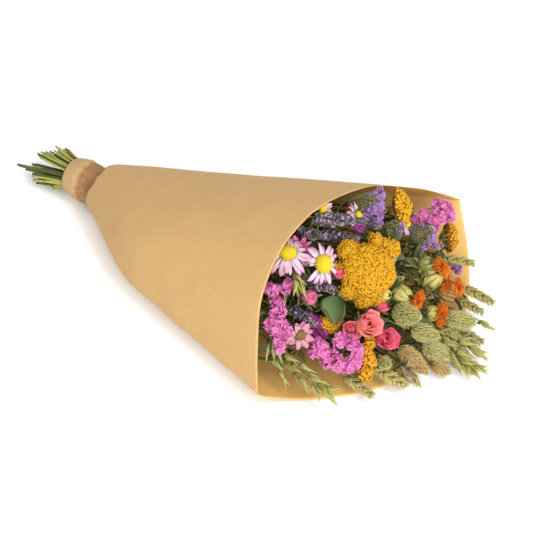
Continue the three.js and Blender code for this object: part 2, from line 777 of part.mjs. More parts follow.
    name: "safflower_bud_low", colour: "safflowerGreen",
    at: [387, 3, 58], faces: [0.97, 0.12, 0], below: 8,
    shapes: () => safflowerBud({ width: 20 }),
  },
  {
    name: "safflower_bud_end", colour: "safflowerGreen",
    at: [407, 24, 32], faces: [0.9, 0.3, 0.15], below: 8,
    shapes: () => safflowerBud({ width: 16 }),
  },
  {
    name: "canary_top", colour: "canary",
    at: [398, -10, 52], faces: [0.82, -0.35, 0.45], below: 12,
    shapes: () => canaryHead({ width: 24, length: 32 }),
  },
  {
    name: "canary_mid", colour: "canary",
    at: [417, -4, 33], faces: [0.9, -0.1, 0.3], below: 12,
    shapes: () => canaryHead({ width: 18, length: 28 }),
  },
  {
    name: "canary_front", colour: "canary",
    at: [433, -6, 19], faces: [0.95, 0.1, 0.15], below: 14,
    shapes: () => canaryHead({ width: 20, length: 34 }),
  },
  {
    name: "canary_low", colour: "canary",
    at: [423, -30, 17], faces: [0.9, -0.38, 0.08], below: 12,
    shapes: () => canaryHead({ width: 18, length: 40 }),
  },
  {
    name: "canary_right", colour: "canary",
    at: [431, 38, 26], faces: [0.9, 0.35, 0.1], below: 13,
    shapes: () => canaryHead({ width: 19, length: 32 }),
  },
  {
    name: "canary_small", colour: "canary",
    at: [402, -52, 24], faces: [0.85, -0.25, 0.3], below: 8,
    shapes: () => canaryHead({ width: 13, length: 19, rows: 5, sides: 8 }),
  },
  {
    name: "wheat_near", colour: "wheat",
    at: [396, -82, 12], faces: [0.92, -0.25, 0.06], below: 20,
    shapes: () => wheatEar({ length: 44, width: 13 }),
  },
  {
    name: "wheat_low", colour: "wheat",
    at: [411, -55, 12], faces: [0.97, -0.1, 0.0], below: 22,
    shapes: () => wheatEar({ length: 48, width: 14 }),
  },
  {
    name: "wheat_far", colour: "wheat",
    at: [396, 92, 47], faces: [0.95, 0.28, 0.05], below: 18,
    shapes: () => wheatEar({ length: 38, width: 11 }),
  },
  {
    name: "wheat_right", colour: "wheat",
    at: [430, 74, 32], faces: [0.97, -0.12, 0.02], below: 21,
    shapes: () => wheatPair({ length: 44, width: 12, apart: 13 }),
  },
  {
    name: "wheat_front", colour: "wheat",
    at: [440, 36, 11], faces: [0.97, 0.2, 0.02], below: 20,
    shapes: () => wheatEar({ length: 44, width: 12 }),
  },
  {
    name: "oats_near", colour: "oat",
    at: [355, -115, 24], faces: [0.97, -0.18, -0.02], below: 32,
    shapes: () => oatPanicle({ length: 88, spread: 28, spikelets: 6 }),
  },
  {
    name: "oats_right", colour: "oat",
    at: [452, 6, 20], faces: [0.96, -0.26, -0.03], below: 30,
    shapes: () => oatPanicle({ length: 70, spread: 24, spikelets: 5 }),
  },
  {
    name: "oats_front", colour: "oat",
    at: [450, 22, 15], faces: [0.98, 0.1, 0.0], below: 26,
    shapes: () => oatPanicle({ length: 58, spread: 14, spikelets: 4 }),
  },
  {
    name: "leaf_grey", colour: "greyLeaf",
    at: [351, -71, 67], faces: [0.3, -0.5, 0.8], below: 12,
    shapes: () => leafyTip({ length: 32, width: 24, leaves: 2, lean: 0.2 }),
  },
  {
    name: "leaves_dark", colour: "darkLeaf",
    at: [366, 36, 66], faces: [0.8, 0.15, 0.4], below: 18,
    shapes: () => leafyTip({ length: 40, width: 14, leaves: 5 }),
  },
];

// Pieces that stand on a head at a height over its middle: the yellow discs of the open daisies
// and the safflowers' brushes.
const disc = (on, width, height) => ({
  name: `${on}_disc`, colour: "disc", on: `${on}_petals`, height: 1.8,
  shapes: () => daisyDisc({ width, height }),
});
const tuft = (place, height, width, length) => ({
  name: `safflower_tuft_${place}`, colour: "safflower", on: `safflower_bud_${place}`, height,
  shapes: () => safflowerTuft({ width, height: length }),
});
const TOPPINGS = [
  disc("daisy_near", 15, 6),
  disc("daisy_mid", 16, 6.5),
  tuft("far", 9.7, 20, 17),
  tuft("right", 6.2, 23, 17),
  tuft("low", 8.8, 17, 15),
  tuft("end", 7.1, 18, 15),
];

// ---------------------------------------------------------------- stems

// A head's own axes in the bunch: +Z is the way it faces and +Y is as near to upright as it can be.
function headFrame({ at, faces }) {
  const ahead = vec(...faces).normalize();
  const right = UP.clone().cross(ahead).normalize();
  const above = ahead.clone().cross(right);
  return new THREE.Matrix4().makeBasis(right, above, ahead).setPosition(...at);
}

// Where the stems leave the tie, spread over its face as their heads are spread over the mouth.
function stemStart(head) {
  const start = vec(0, head.y * 0.09, (head.z - 70) * 0.15);
  start.clampLength(0, BUNDLE_RADIUS - STEM_RADIUS - 0.4);
  return start.add(vec(BUNDLE_LENGTH / 2 - 3, 0, TIE_HEIGHT));
}

// A stem runs out straight from the tie, turns as its head does and ends inside it.
function flowerStem({ at, faces, below }, grow) {
  const ahead = vec(...faces).normalize();
  const foot = vec(...at).addScaledVector(ahead, -below);
  const turn = foot.clone().addScaledVector(ahead, -40);
  turn.z = Math.max(turn.z, 6);
  const end = foot.clone().addScaledVector(ahead, 5);
  const path = new THREE.QuadraticBezierCurve3(stemStart(foot), turn, end);
  return stalk(path, STEM_RADIUS, { sides: 3, steps: 2, taper: 0.8, grow });
}

// The stems' lower ends fan out behind the tie, sink to the table and are cut at different lengths.
function cutStems() {
  const roll = dice(7);
  const shapes = [];
  for (let i = 0; i < CUT_STEMS; i++) {
    const out = Math.sqrt((i + 0.5) / CUT_STEMS) * (BUNDLE_RADIUS - STEM_RADIUS);
    const across = vec(0, out * Math.cos(i * GOLDEN), out * Math.sin(i * GOLDEN));
    const tail = i === LONGEST_STEM ? STEM_TAIL : STEM_TAIL * lerp(0.5, 0.85, roll());
    const fan = 1 + STEM_FAN * (tail / STEM_TAIL);
    const start = across.clone().add(vec(3 - BUNDLE_LENGTH / 2, 0, TIE_HEIGHT));
    const cut = -BUNDLE_LENGTH / 2 - tail;
    const end = across.multiplyScalar(fan).add(vec(cut, 0, middleHeight(cut)));
    end.y += lerp(-2, 2, roll());
    end.z = Math.max(end.z, STEM_RADIUS + 1);
    const thick = STEM_RADIUS * lerp(0.9, 1.15, roll());
    shapes.push(stalk(new THREE.LineCurve3(start, end), thick, { sides: 4, steps: 1, taper: 1 }));
  }
  return shapes;
}

function allStems(grow) {
  const length = BUNDLE_LENGTH / 2;
  const core = new THREE.LineCurve3(vec(-length, 0, TIE_HEIGHT), vec(length, 0, TIE_HEIGHT));
  const bundle = stalk(core, BUNDLE_RADIUS, { sides: 12, steps: 1, taper: 1, grow });
  return fuse([bundle, ...SPOTS.map((spot) => flowerStem(spot, grow)), ...cutStems()]);
}

// ---------------------------------------------------------------- the bunch put together

const laid = new THREE.Group();

function addPiece(name, colour, solid, frame = new THREE.Matrix4()) {
  const geometry = geometryOf(solid).applyMatrix4(frame.clone().invert());
  const piece = new THREE.Mesh(
    geometry,
    new THREE.MeshStandardMaterial({ color: COLOURS[colour], roughness: 0.85, metalness: 0 }),
  );
  piece.name = name;
  frame.decompose(piece.position, piece.quaternion, piece.scale);
  laid.add(piece);
}

const paperRoom = paperCone(GAP);
const stemRoom = allStems(GAP);
const heads = [];

// A head that presses on one placed before it gives way to it, and leaves it a gap.
function makeWay(solid, frame) {
  const middle = vec().setFromMatrixPosition(frame);
  let rest = solid;
  for (const other of heads) {
    const { min, max } = other.solid.boundingBox();
    const mine = rest.boundingBox();
    const clear = [0, 1, 2].some((k) => mine.min[k] > max[k] + GAP || mine.max[k] < min[k] - GAP);
    if (clear) continue;
    const apart = middle.clone().sub(other.middle).setLength(GAP);
    rest = rest.subtract(other.solid).subtract(other.solid.translate([apart.x, apart.y, apart.z]));
  }
  return rest;
}

function addHead(name, colour, shapes, frame) {
  const whole = fuse(shapes.map((shape) => shape.applyMatrix4(frame)));
  const solid = largest(makeWay(whole.subtract(stemRoom).subtract(paperRoom), frame));
  heads.push({ name, solid, frame, middle: vec().setFromMatrixPosition(frame) });
  addPiece(name, colour, solid, frame);
}

addPiece("wrap", "kraft", paperCone(0));
addPiece("cuff", "kraftCuff", paperCuff());
addPiece("band", "rubber", rubberBand());
addPiece("stems", "stem", largest(allStems(0).subtract(paperRoom)));
for (const spot of SPOTS) {
  addHead(spot.name, spot.colour, spot.shapes(), headFrame(spot));
}
for (const { name, colour, on, height, shapes } of TOPPINGS) {
  const under = heads.find((head) => head.name === on);
  const frame = under.frame.clone().multiply(new THREE.Matrix4().makeTranslation(0, 0, height));
  addHead(name, colour, shapes(), frame);
}

// The origin is on the table, under the middle of the whole bunch.
const { min: lowest, max: highest } = new THREE.Box3().setFromObject(laid, true);
laid.position.set(-(lowest.x + highest.x) / 2, -(lowest.y + highest.y) / 2, -lowest.z);
const bouquet = new THREE.Group();
bouquet.add(laid);

export default bouquet;
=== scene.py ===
# A mixed bouquet of dried wildflowers in its kraft paper wrap, lying on its side on a table.
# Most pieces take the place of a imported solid, and a few small ones are only here. Lengths are
# in millimetres from the tie round the stems, as the bunch is bound from there: +X towards the
# flowers, +Z up from the table.

import math
import random

import bpy
import numpy as np
from mathutils import Matrix, Quaternion, Vector, noise
from mathutils.bvhtree import BVHTree


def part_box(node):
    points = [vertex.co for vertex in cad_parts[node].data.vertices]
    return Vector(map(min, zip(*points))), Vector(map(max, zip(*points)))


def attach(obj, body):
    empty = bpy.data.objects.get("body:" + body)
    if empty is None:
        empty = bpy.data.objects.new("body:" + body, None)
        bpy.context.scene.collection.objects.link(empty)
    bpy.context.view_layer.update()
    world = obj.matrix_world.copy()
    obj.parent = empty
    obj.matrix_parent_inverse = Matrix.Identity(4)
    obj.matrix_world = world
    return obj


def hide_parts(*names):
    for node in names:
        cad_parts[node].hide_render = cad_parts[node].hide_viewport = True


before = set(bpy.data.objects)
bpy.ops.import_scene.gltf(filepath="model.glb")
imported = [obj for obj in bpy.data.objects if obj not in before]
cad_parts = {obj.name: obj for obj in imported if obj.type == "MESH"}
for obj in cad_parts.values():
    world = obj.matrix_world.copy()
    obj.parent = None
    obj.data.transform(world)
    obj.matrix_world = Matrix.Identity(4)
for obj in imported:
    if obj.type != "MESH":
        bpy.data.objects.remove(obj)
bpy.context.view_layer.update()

MM = 0.001
BAND_MIDDLE = Vector((6, 0, 25))  # the rubber band's middle, from the table under the tie
low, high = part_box("band")
tie = (low + high) / 2 - BAND_MIDDLE * MM
to_metres = Matrix.Translation(tie) @ Matrix.Scale(MM, 4)

# ------------------------------------------------------------------ where it is seen from
# The photographer stands at the bunch's near side and looks down along it from 40 degrees,
# with a long lens, so that the mouth of the wrap opens towards the camera.

AZIMUTH, ELEVATION, DISTANCE = 36, 40, 1700
LOOKS_AT = Vector((228.5, -0.1, 19.9))
FOCAL_PIXELS, FRAME_PIXELS, SENSOR = 1700, 533, 36


def way_to(azimuth, elevation):
    """The way from the bunch to a place, by its angle round from the near side and its height."""
    turn, rise = math.radians(azimuth), math.radians(elevation)
    return Vector((math.sin(turn) * math.cos(rise), -math.cos(turn) * math.cos(rise), math.sin(rise)))


to_right = Vector((math.cos(math.radians(AZIMUTH)), math.sin(math.radians(AZIMUTH)), 0))
to_camera = way_to(AZIMUTH, ELEVATION)
upward = to_camera.cross(to_right)
view_axes = Matrix((to_right, upward, to_camera)).transposed().to_4x4()
camera = bpy.data.objects.new("camera", bpy.data.cameras.new("camera"))
camera.data.sensor_width = SENSOR
camera.data.lens = SENSOR * FOCAL_PIXELS / FRAME_PIXELS
camera.data.clip_end = 20
camera.matrix_world = Matrix.Translation(to_metres @ (LOOKS_AT + to_camera * DISTANCE)) @ view_axes
bpy.context.scene.collection.objects.link(camera)
bpy.context.scene.camera = camera


# ------------------------------------------------------------------ the table and the light
# A matt white table in a white studio that is brightest at the height of the table, and a large
# soft box beside the photographer that shines into the mouth of the wrap.

class Socket:
    """An output of a node. Arithmetic on it adds Math nodes to its tree."""

    def __init__(self, nodes, output):
        self.nodes = nodes
        self.output = output

    def of(self, name):
        """Another output of the same node."""
        return Socket(self.nodes, self.output.node.outputs[name])

    def maths(self, operation, *others):
        values = dict(enumerate((self, *others)))
        return self.nodes.add("ShaderNodeMath", {"operation": operation}, values)

    def __add__(self, other):
        return self.maths("ADD", other)

    def __sub__(self, other):
        return self.maths("SUBTRACT", other)

    def __rsub__(self, other):
        return self.maths("MULTIPLY_ADD", -1, other)

    def __mul__(self, other):
        return self.maths("MULTIPLY", other)

    def __pow__(self, other):
        return self.maths("POWER", other)

    def clamped(self):
        return self.nodes.add("ShaderNodeClamp", {}, {"Value": self})

    __radd__ = __add__
    __rmul__ = __mul__


class Nodes:
    """A node tree that is written as expressions."""

    def __init__(self, tree):
        self.tree = tree
        tree.nodes.clear()

    def add(self, kind, settings=None, values=None, out=0):
        """Adds a node: its settings first, then the values or links of its sockets."""
        node = self.tree.nodes.new(kind)
        for name, value in (settings or {}).items():
            if name == "stops":
                ramp = node.color_ramp.elements
                while len(ramp) < len(value):
                    ramp.new(0.5)
                for stop, (place, colour) in zip(ramp, value):
                    stop.position = place
                    stop.color = (*colour, 1)
            else:
                setattr(node, name, value)
        for name, value in (values or {}).items():
            if isinstance(value, Socket):
                self.tree.links.new(value.output, node.inputs[name])
            else:
                node.inputs[name].default_value = value
        return Socket(self, node.outputs[out]) if len(node.outputs) else None

    def mix(self, share, first, second):
        """A colour between two colours."""
        colours = [c if isinstance(c, Socket) else (*c, 1) for c in (first, second)]
        values = {0: share, 6: colours[0], 7: colours[1]}
        return self.add("ShaderNodeMix", {"data_type": "RGBA"}, values, out=2)


LIT = 1.6  # how many times brighter than its own colour a surface looks that faces the camera


def seen(red, green, blue):
    """The colour of a surface that looks like this in the studio's light. A value of 255 is the
    picture's white, and a thin petal that the light shines through may go a little over it, as
    may the painted light on the inside of the wrap."""
    light = (((c / 255 + 0.055) / 1.055) ** 2.4 if c > 10 else c / 3295 for c in (red, green, blue))
    return tuple(share / LIT for share in light)


def new_material(name):
    material = bpy.data.materials.new(name)
    material.use_nodes = True
    return material, Nodes(material.node_tree)


def finish_material(nodes, colour, roughness, height=None, bump=0.3, distance=0.0003, **uniform):
    """The shader of a matt natural surface. What varies comes in as sockets."""
    values = {"Base Color": colour, "Roughness": roughness, "Specular IOR Level": 0.3}
    if height is not None:
        relief = {"Strength": bump, "Distance": distance, "Height": height}
        values["Normal"] = nodes.add("ShaderNodeBump", {}, relief)
    for name, value in uniform.items():
        values[name.replace("_", " ")] = value
    shader = nodes.add("ShaderNodeBsdfPrincipled", {}, values)
    nodes.add("ShaderNodeOutputMaterial", {}, {"Surface": shader})


table_white, nodes = new_material("table white")
finish_material(nodes, (0.95, 0.95, 0.95, 1), 0.9)
TABLE_HALF = 12  # metres from its middle to an edge
table_mesh = bpy.data.meshes.new("table")
corners = [(x * TABLE_HALF, y * TABLE_HALF, 0) for x, y in ((-1, -1), (1, -1), (1, 1), (-1, 1))]
table_mesh.from_pydata(corners, [], [(0, 1, 2, 3)])
table_mesh.materials.append(table_white)
table = bpy.data.objects.new("table", table_mesh)
bpy.context.scene.collection.objects.link(table)

studio = bpy.data.worlds.new("studio")
studio.use_nodes = True
nodes = Nodes(studio.node_tree)
direction = nodes.add("ShaderNodeTexCoord", out="Generated")
height = nodes.add("ShaderNodeSeparateXYZ", {}, {"Vector": direction}, out="Z")
air = nodes.add("ShaderNodeBackground", {}, {"Color": (1, 1, 1, 1), "Strength": 1.25 - height * 0.55})
nodes.add("ShaderNodeOutputWorld", {}, {"Surface": air})
bpy.context.scene.world = studio
bpy.context.scene.view_settings.view_transform = "Standard"

SOFT_BOXES = [  # angle round and height in degrees, distance, size in metres, watts
    ("soft_box_beside_the_camera", 50, 24, 1700, 0.9, 24),
    ("soft_box_over_the_mouth", 80, 55, 1500, 0.6, 9),
]
for name, azimuth, elevation, distance, size, watts in SOFT_BOXES:
    light = bpy.data.lights.new(name, "AREA")
    light.size = size
    light.energy = watts
    way = way_to(azimuth, elevation)
    lamp = bpy.data.objects.new(name, light)
    lamp.location = to_metres @ (LOOKS_AT + way * distance)
    lamp.rotation_euler = way.to_track_quat("Z", "Y").to_euler()
    bpy.context.scene.collection.objects.link(lamp)


# ------------------------------------------------------------------ the wrap
# One sheet of brown kraft paper rolled into a cone round the stems. It lies flat on the table,
# its upper edge arches over the flowers, and its lower edge runs out under them as a lip. The
# paper has the fine ribs of machine-glazed kraft, and a few soft creases from the hand.

NECK_X, NECK_RADIUS, NECK_SLANT, FLAT_SHARE = 12, 25, 0.04, 0.8
RIM_CREST = Vector((310, -35, 151))
CREST_NEAR_X = 309
FAR_CORNER = Vector((350, 168, 55))
NEAR_CORNER = Vector((328.5, -152, 23))
LOWER_LIP = Vector((427, 8, 0))
NEAR_BELLY = 26
PAPER = 0.55
PAPER_ROWS, PAPER_COLUMNS = 96, 200
FLAT_NECK, FLAT_LENGTH, FLAT_TURN = 60, 420, 0.42  # the sheet laid flat: a fan's radius, length and turn
MARKS = ("along", "across", "tint")  # what each point of a shape knows about its place


def between(first, second, share):
    return first + (second - first) * share


def ease(low, high, value):
    share = min(max((value - low) / (high - low), 0), 1)
    return share * share * (3 - 2 * share)


def mouth_point(angle):
    """The paper's mouth: from the far corner over the crest to the near one, and back below."""
    side, rise = math.cos(angle), math.sin(angle)
    out, far = abs(side), side >= 0
    corner = FAR_CORNER if far else NEAR_CORNER
    if rise >= 0:
        crest_x, turn = (RIM_CREST.x, 2.2) if far else (CREST_NEAR_X, 5)
        drop = out ** 1.65 if far else 1 - (1 - min(out, 1) ** 2.2) ** (1 / 2.2)
        return Vector((
            between(crest_x, corner.x, out**turn),
            between(RIM_CREST.y, corner.y, out),
            between(RIM_CREST.z, corner.z, drop),
        ))
    under = -rise
    lift = max(0, 1 - under / (0.85 if far else 0.8)) ** (1.1 if far else 1.4)
    forward = between(corner.x, LOWER_LIP.x, under ** (1.7 if far else 2.4))
    return Vector((forward, between(LOWER_LIP.y, corner.y, out), corner.z * (0 if under > 0.85 else lift)))


def paper_point(along, angle):
    """A point of the cone's outer face: along is 0 at the slanted neck and 1 at the mouth."""
    rise = math.sin(angle)
    share = between(NECK_SLANT * ease(-0.3, 1, rise), 1, along)
    height = 1 + rise if rise >= 0 else max(0, 1 + rise / FLAT_SHARE)
    neck = Vector((NECK_X, NECK_RADIUS * math.cos(angle), NECK_RADIUS * height))
    point = between(neck, mouth_point(angle), share)
    belly = NEAR_BELLY * ease(-0.05, 0.36, share) * (1 - min(max((share - 0.42) / 0.58, 0), 1))
    point.y -= belly * max(0, -math.cos(angle))
    return point


def paper_normal(share, angle):
    step = 1e-3
    along = paper_point(share + step, angle) - paper_point(share - step, angle)
    around = paper_point(share, angle + step) - paper_point(share, angle - step)
    return around.cross(along).normalized()


def handled(share, angle):
    """How far the sheet stands off its plain cone: gathers at the neck and slack at the mouth."""
    above = ease(-0.75, -0.2, math.sin(angle))  # the part on the table stays flat
    gathers = 0.5 * math.exp(-share * 11) * math.cos(9 * angle + 1.5 * math.sin(3 * angle))
    slack = 1.4 * share**2 * noise.noise(Vector((3 * math.cos(angle), 3 * math.sin(angle), share * 3)))
    dents = 1.0 * noise.noise(Vector((2 * math.cos(angle) + 7, 4 * math.sin(angle), share * 7)))
    return above * (gathers + slack + dents * ease(0, 0.2, share) * ease(1.05, 0.8, share))


class Shape:
    """Points and faces gathered before they are a mesh. Each point also knows how far along its
    petal, husk or stem it lies, from 0 to 1, how far out from its midrib, and its part's tint."""

    def __init__(self):
        self.points, self.faces, self.marks = [], [], []

    def skin(self, rings, marks, closes=False):
        """Covers a row of rings. A ring of one point is a tip, and an end ring gets a cap."""
        sides = max(len(ring) for ring in rings)
        starts = []
        for ring, ring_marks in zip(rings, marks):
            starts.append(len(self.points))
            self.points += ring
            self.marks += ring_marks
        at = lambda k, j: starts[k] + (0 if len(rings[k]) == 1 else j % sides)
        for k in range(len(rings) if closes else len(rings) - 1):
            after = (k + 1) % len(rings)
            for j in range(sides):
                corners = [at(k, j), at(k, j + 1), at(after, j + 1), at(after, j)]
                face = list(dict.fromkeys(corners))
                if len(face) > 2:
                    self.faces.append(face)
        if not closes:
            if len(rings[0]) > 1:
                self.faces.append([at(0, j) for j in reversed(range(sides))])
            if len(rings[-1]) > 1:
                self.faces.append([at(len(rings) - 1, j) for j in range(sides)])

    def mesh(self, name, material=None, smooth=True):
        mesh = bpy.data.meshes.new(name)
        mesh.from_pydata([tuple(p) for p in self.points], [], self.faces)
        for column, mark in enumerate(MARKS):
            attribute = mesh.attributes.new(mark, "FLOAT", "POINT")
            attribute.data.foreach_set("value", [m[column] for m in self.marks])
        mesh.polygons.foreach_set("use_smooth", [smooth] * len(mesh.polygons))
        if material:
            mesh.materials.append(material)
        return mesh


def settle(name, meshes, place, slot, *nodes_replaced):
    """Joins meshes into one piece, puts it in its place and lets it stand for its solid."""
    objects = []
    for mesh in meshes:
        part = bpy.data.objects.new(name, mesh)
        bpy.context.scene.collection.objects.link(part)
        objects.append(part)
    piece = objects[0]
    if len(objects) > 1:
        with bpy.context.temp_override(active_object=piece, selected_editable_objects=objects):
            bpy.ops.object.join()
    piece.data.transform(place)
    piece.data.update()
    piece.name = name
    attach(piece, "root")
    if nodes_replaced:
        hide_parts(*nodes_replaced)
    return piece


def lay_out(mesh, places):
    """Gives a mesh its flat pattern on the sheet of paper, one place for each point."""
    sheet = mesh.uv_layers.new(name="sheet")
    corners = np.empty(len(mesh.loops), dtype=np.int32)
    mesh.loops.foreach_get("vertex_index", corners)
    sheet.data.foreach_set("uv", np.array(places)[corners].ravel())


def grainy(nodes, place, scale, detail):
    """Uneven grain over a place, from 0 to 1."""
    return nodes.add("ShaderNodeTexNoise", {}, {"Vector": place, "Scale": scale, "Detail": detail})


def kraft_paper(name, light, dark, other, creases=0.0):
    """Brown kraft: fine ribs along the sheet, cloudy fibres, a few flecks, pale creases, and a
    painted light or shade colour where the tint says so: lighter inside the wrap, darker in the pleats."""
    material, nodes = new_material(name)
    place = nodes.add("ShaderNodeTexCoord", out="Object")
    sheet = nodes.add("ShaderNodeUVMap", {"uv_map": "sheet"})
    ribbed = {0: sheet, 1: (120, 1500, 1)}
    stretched = nodes.add("ShaderNodeVectorMath", {"operation": "MULTIPLY"}, ribbed)
    ribs = grainy(nodes, stretched, 1, 3)
    fibres = grainy(nodes, place, 700, 4)
    clouds = grainy(nodes, place, 45, 3)
    fleck = grainy(nodes, place, 1600, 1)
    flecks = (fleck - 0.66).maths("MAXIMUM", 0) * 6
    depth = ribs * 0.45 + fibres * 0.35 + clouds * 0.2
    stops = [(0.36, seen(*dark)), (0.64, seen(*light))]
    colour = nodes.add("ShaderNodeValToRGB", {"stops": stops}, {"Fac": depth})
    # Painted light and shade: where the tint mark is set the colour turns to the given one, brighter on the
    # wrap's inside and darker in the cuff's pleats.
    tint = nodes.add("ShaderNodeAttribute", {"attribute_name": "tint"}, out="Fac")
    colour = nodes.mix(tint, colour, seen(*other))
    colour = nodes.mix(flecks * 0.3, colour, seen(120, 84, 50))
    height = ribs * 0.6 + fibres * 0.4
    if creases:
        edges = {"feature": "DISTANCE_TO_EDGE"}
        folded = nodes.add("ShaderNodeTexVoronoi", edges, {"Vector": place, "Scale": 75})
        line = (1 - folded * 9).maths("MAXIMUM", 0)
        colour = nodes.mix(line * creases, colour, seen(236, 206, 158))
        height = height + line * 1.2
    finish_material(nodes, colour, 0.62 + fibres * 0.2, height, bump=0.35, distance=0.00025)
    return material


sheet_of_paper = Shape()
rings, marks, flat_places = [], [], []
rows = [k / (PAPER_ROWS - 1) for k in range(PAPER_ROWS)]
for depth, shares in ((0, rows), (PAPER, rows[::-1])):
    for share in shares:
        ring = []
        for j in range(PAPER_COLUMNS):
            angle = j / PAPER_COLUMNS * 2 * math.pi
            offset = handled(share, angle) - depth
            ring.append(paper_point(share, angle) + paper_normal(share, angle) * offset)
            reach, turn = FLAT_NECK + share * FLAT_LENGTH, (angle - math.pi / 2) * FLAT_TURN
            flat_places.append((reach * math.cos(turn) * MM, reach * math.sin(turn) * MM))
        rings.append(ring)
        # The inner skin gets the tint mark, so its colour is painted light that brightens the inside of the
        # wrap.
        marks.append([(share, 0, 0.85 if depth else 0)] * PAPER_COLUMNS)
sheet_of_paper.skin(rings, marks, closes=True)
paper_walls = BVHTree.FromPolygons(sheet_of_paper.points, sheet_of_paper.faces)
# other is the painted light on the wrap's inside, brighter than the paper outside.
kraft = kraft_paper("kraft paper", light=(235, 192, 128), dark=(220, 175, 111), other=(266, 212, 124))
wrap_mesh = sheet_of_paper.mesh("wrap", kraft)
lay_out(wrap_mesh, flat_places)
settle("kraft_wrap", [wrap_mesh], to_metres, "kraft_paper", "wrap")


TIE_ROOM = 11.5  # how far from the middle the stems may lie at the tie
CONE_RISE = 0.11  # how fast the middle of the cone rises from the tie to the mouth


def cone_middle(x):
    return Vector((x, 0, BAND_MIDDLE.z + x * CONE_RISE))


def inside_paper(point, clear=2.5):
    """Whether a point is inside the cone, or in front of its mouth and over the table."""
    nearest, normal, _, distance = paper_walls.find_nearest(point)
    enclosed = point.x > RIM_CREST.x + 20 or normal.dot(cone_middle(point.x) - nearest) > 0
    return point.z > 3 and distance > clear and enclosed


NEAR_TIE = NECK_X + 4  # up to here the stems lie in the band


def drawn_in(points):
    """The same stem, drawn in towards the middle of the cone where it would pierce the paper."""
    for point in points:
        middle = cone_middle(point.x)
        room = TIE_ROOM + max(0, point.x - NECK_X) * 0.4
        across = Vector((0, point.y - middle.y, point.z - middle.z))
        if across.length > room:
            point.xyz = middle + across.normalized() * room
        for _ in range(15):
            if point.x < NEAR_TIE or inside_paper(point, 2):
                break
            point.xyz = between(point, cone_middle(point.x), 0.1)
    return points


# ------------------------------------------------------------------ the cuff and the band
# The narrow end of the same paper is gathered round the stems and folded back on itself, so a
# round, soft collar shows behind the wrap. Under its waist a rubber band holds the stems.

SINK = 0.13  # how fast the cuff and the cut ends sink towards the table behind the tie
CUFF_PROFILE = [  # from the turned edge to the wrap: distance from the tie, radius, depth of the folds
    (-25.4, 18.0, 0.1), (-26.2, 18.7, 0.1), (-25.4, 19.4, 0.1), (-21.5, 20.3, 0.1), (-16, 21.0, 0.1),
    (-10, 21.6, 0.1), (-7, 21.2, 0.5), (-4, 19.6, 1.0), (0, 18.9, 1.2), (5, 18.3, 1.3), (11, 18.0, 1.2),
    (18, 18.6, 1.0), (26, 19.4, 1.2),
]
CUFF_COLUMNS, CUFF_ROWS, CUFF_PAPER = 168, 60, 0.5
CREASE_X = -7  # where the smooth collar ends and the pleats begin
SAG, SAG_ANGLE = 5.5, math.radians(236)  # how far the waist of the cuff sags, and to which side


def middle_height(x):
    return BAND_MIDDLE.z + min(0, x) * SINK


collar = Shape()
rings, marks, flat_places = [], [], []
for depth, order in ((0, range(CUFF_ROWS)), (CUFF_PAPER, reversed(range(CUFF_ROWS)))):
    for k in order:
        share = k / (CUFF_ROWS - 1) * (len(CUFF_PROFILE) - 1)
        row = min(int(share), len(CUFF_PROFILE) - 2)
        before, after = CUFF_PROFILE[row], CUFF_PROFILE[row + 1]
        x, radius, folds = (between(a, b, share - row) for a, b in zip(before, after))
        ring = []
        for j in range(CUFF_COLUMNS):
            angle = j / CUFF_COLUMNS * 2 * math.pi
            wave = math.cos(8 * angle + x * 0.07 + 1.3 * math.sin(2 * angle))
            pleat = folds * (1 - 2 * abs(wave) ** 0.6)
            crumple = noise.noise(Vector((x * 0.05, 1.3 * math.cos(angle), 1.3 * math.sin(angle))))
            dent = ease(-20, CREASE_X, x) * abs(crumple) * 1.8 * ease(16, 4, x)
            sag = SAG * ease(-24, 4, x) * max(0, math.cos(angle - SAG_ANGLE)) ** 2
            reach = radius + pleat - dent + sag - depth
            ring.append(Vector((x, reach * math.cos(angle), middle_height(x) + reach * math.sin(angle))))
            flat_places.append((x * MM, angle * 0.02))
        rings.append(ring)
        # Painted shade: past the crease the pleated waist takes the tint mark and so the darker colour.
        shade = 0.75 * ease(CREASE_X - 1, CREASE_X + 4, x)
        marks.append([(share / len(CUFF_PROFILE), 0, shade)] * CUFF_COLUMNS)
collar.skin(rings, marks, closes=True)
# other is painted shade for the pleated waist, darker than the collar.
kraft_neck = kraft_paper(
    "kraft paper neck", light=(230, 190, 136), dark=(206, 163, 110), other=(168, 116, 62), creases=0.15)
cuff = collar.mesh("cuff", kraft_neck)
lay_out(cuff, flat_places)
settle("kraft_cuff", [cuff], to_metres, "kraft_paper_neck", "cuff")

rubber, nodes = new_material("tan rubber")
place = nodes.add("ShaderNodeTexCoord", out="Object")
speckle = grainy(nodes, place, 900, 2)
stops = [(0.3, seen(128, 98, 58)), (0.7, seen(160, 128, 80))]
colour = nodes.add("ShaderNodeValToRGB", {"stops": stops}, {"Fac": speckle})
finish_material(nodes, colour, 0.55 + speckle * 0.2, speckle, bump=0.2)

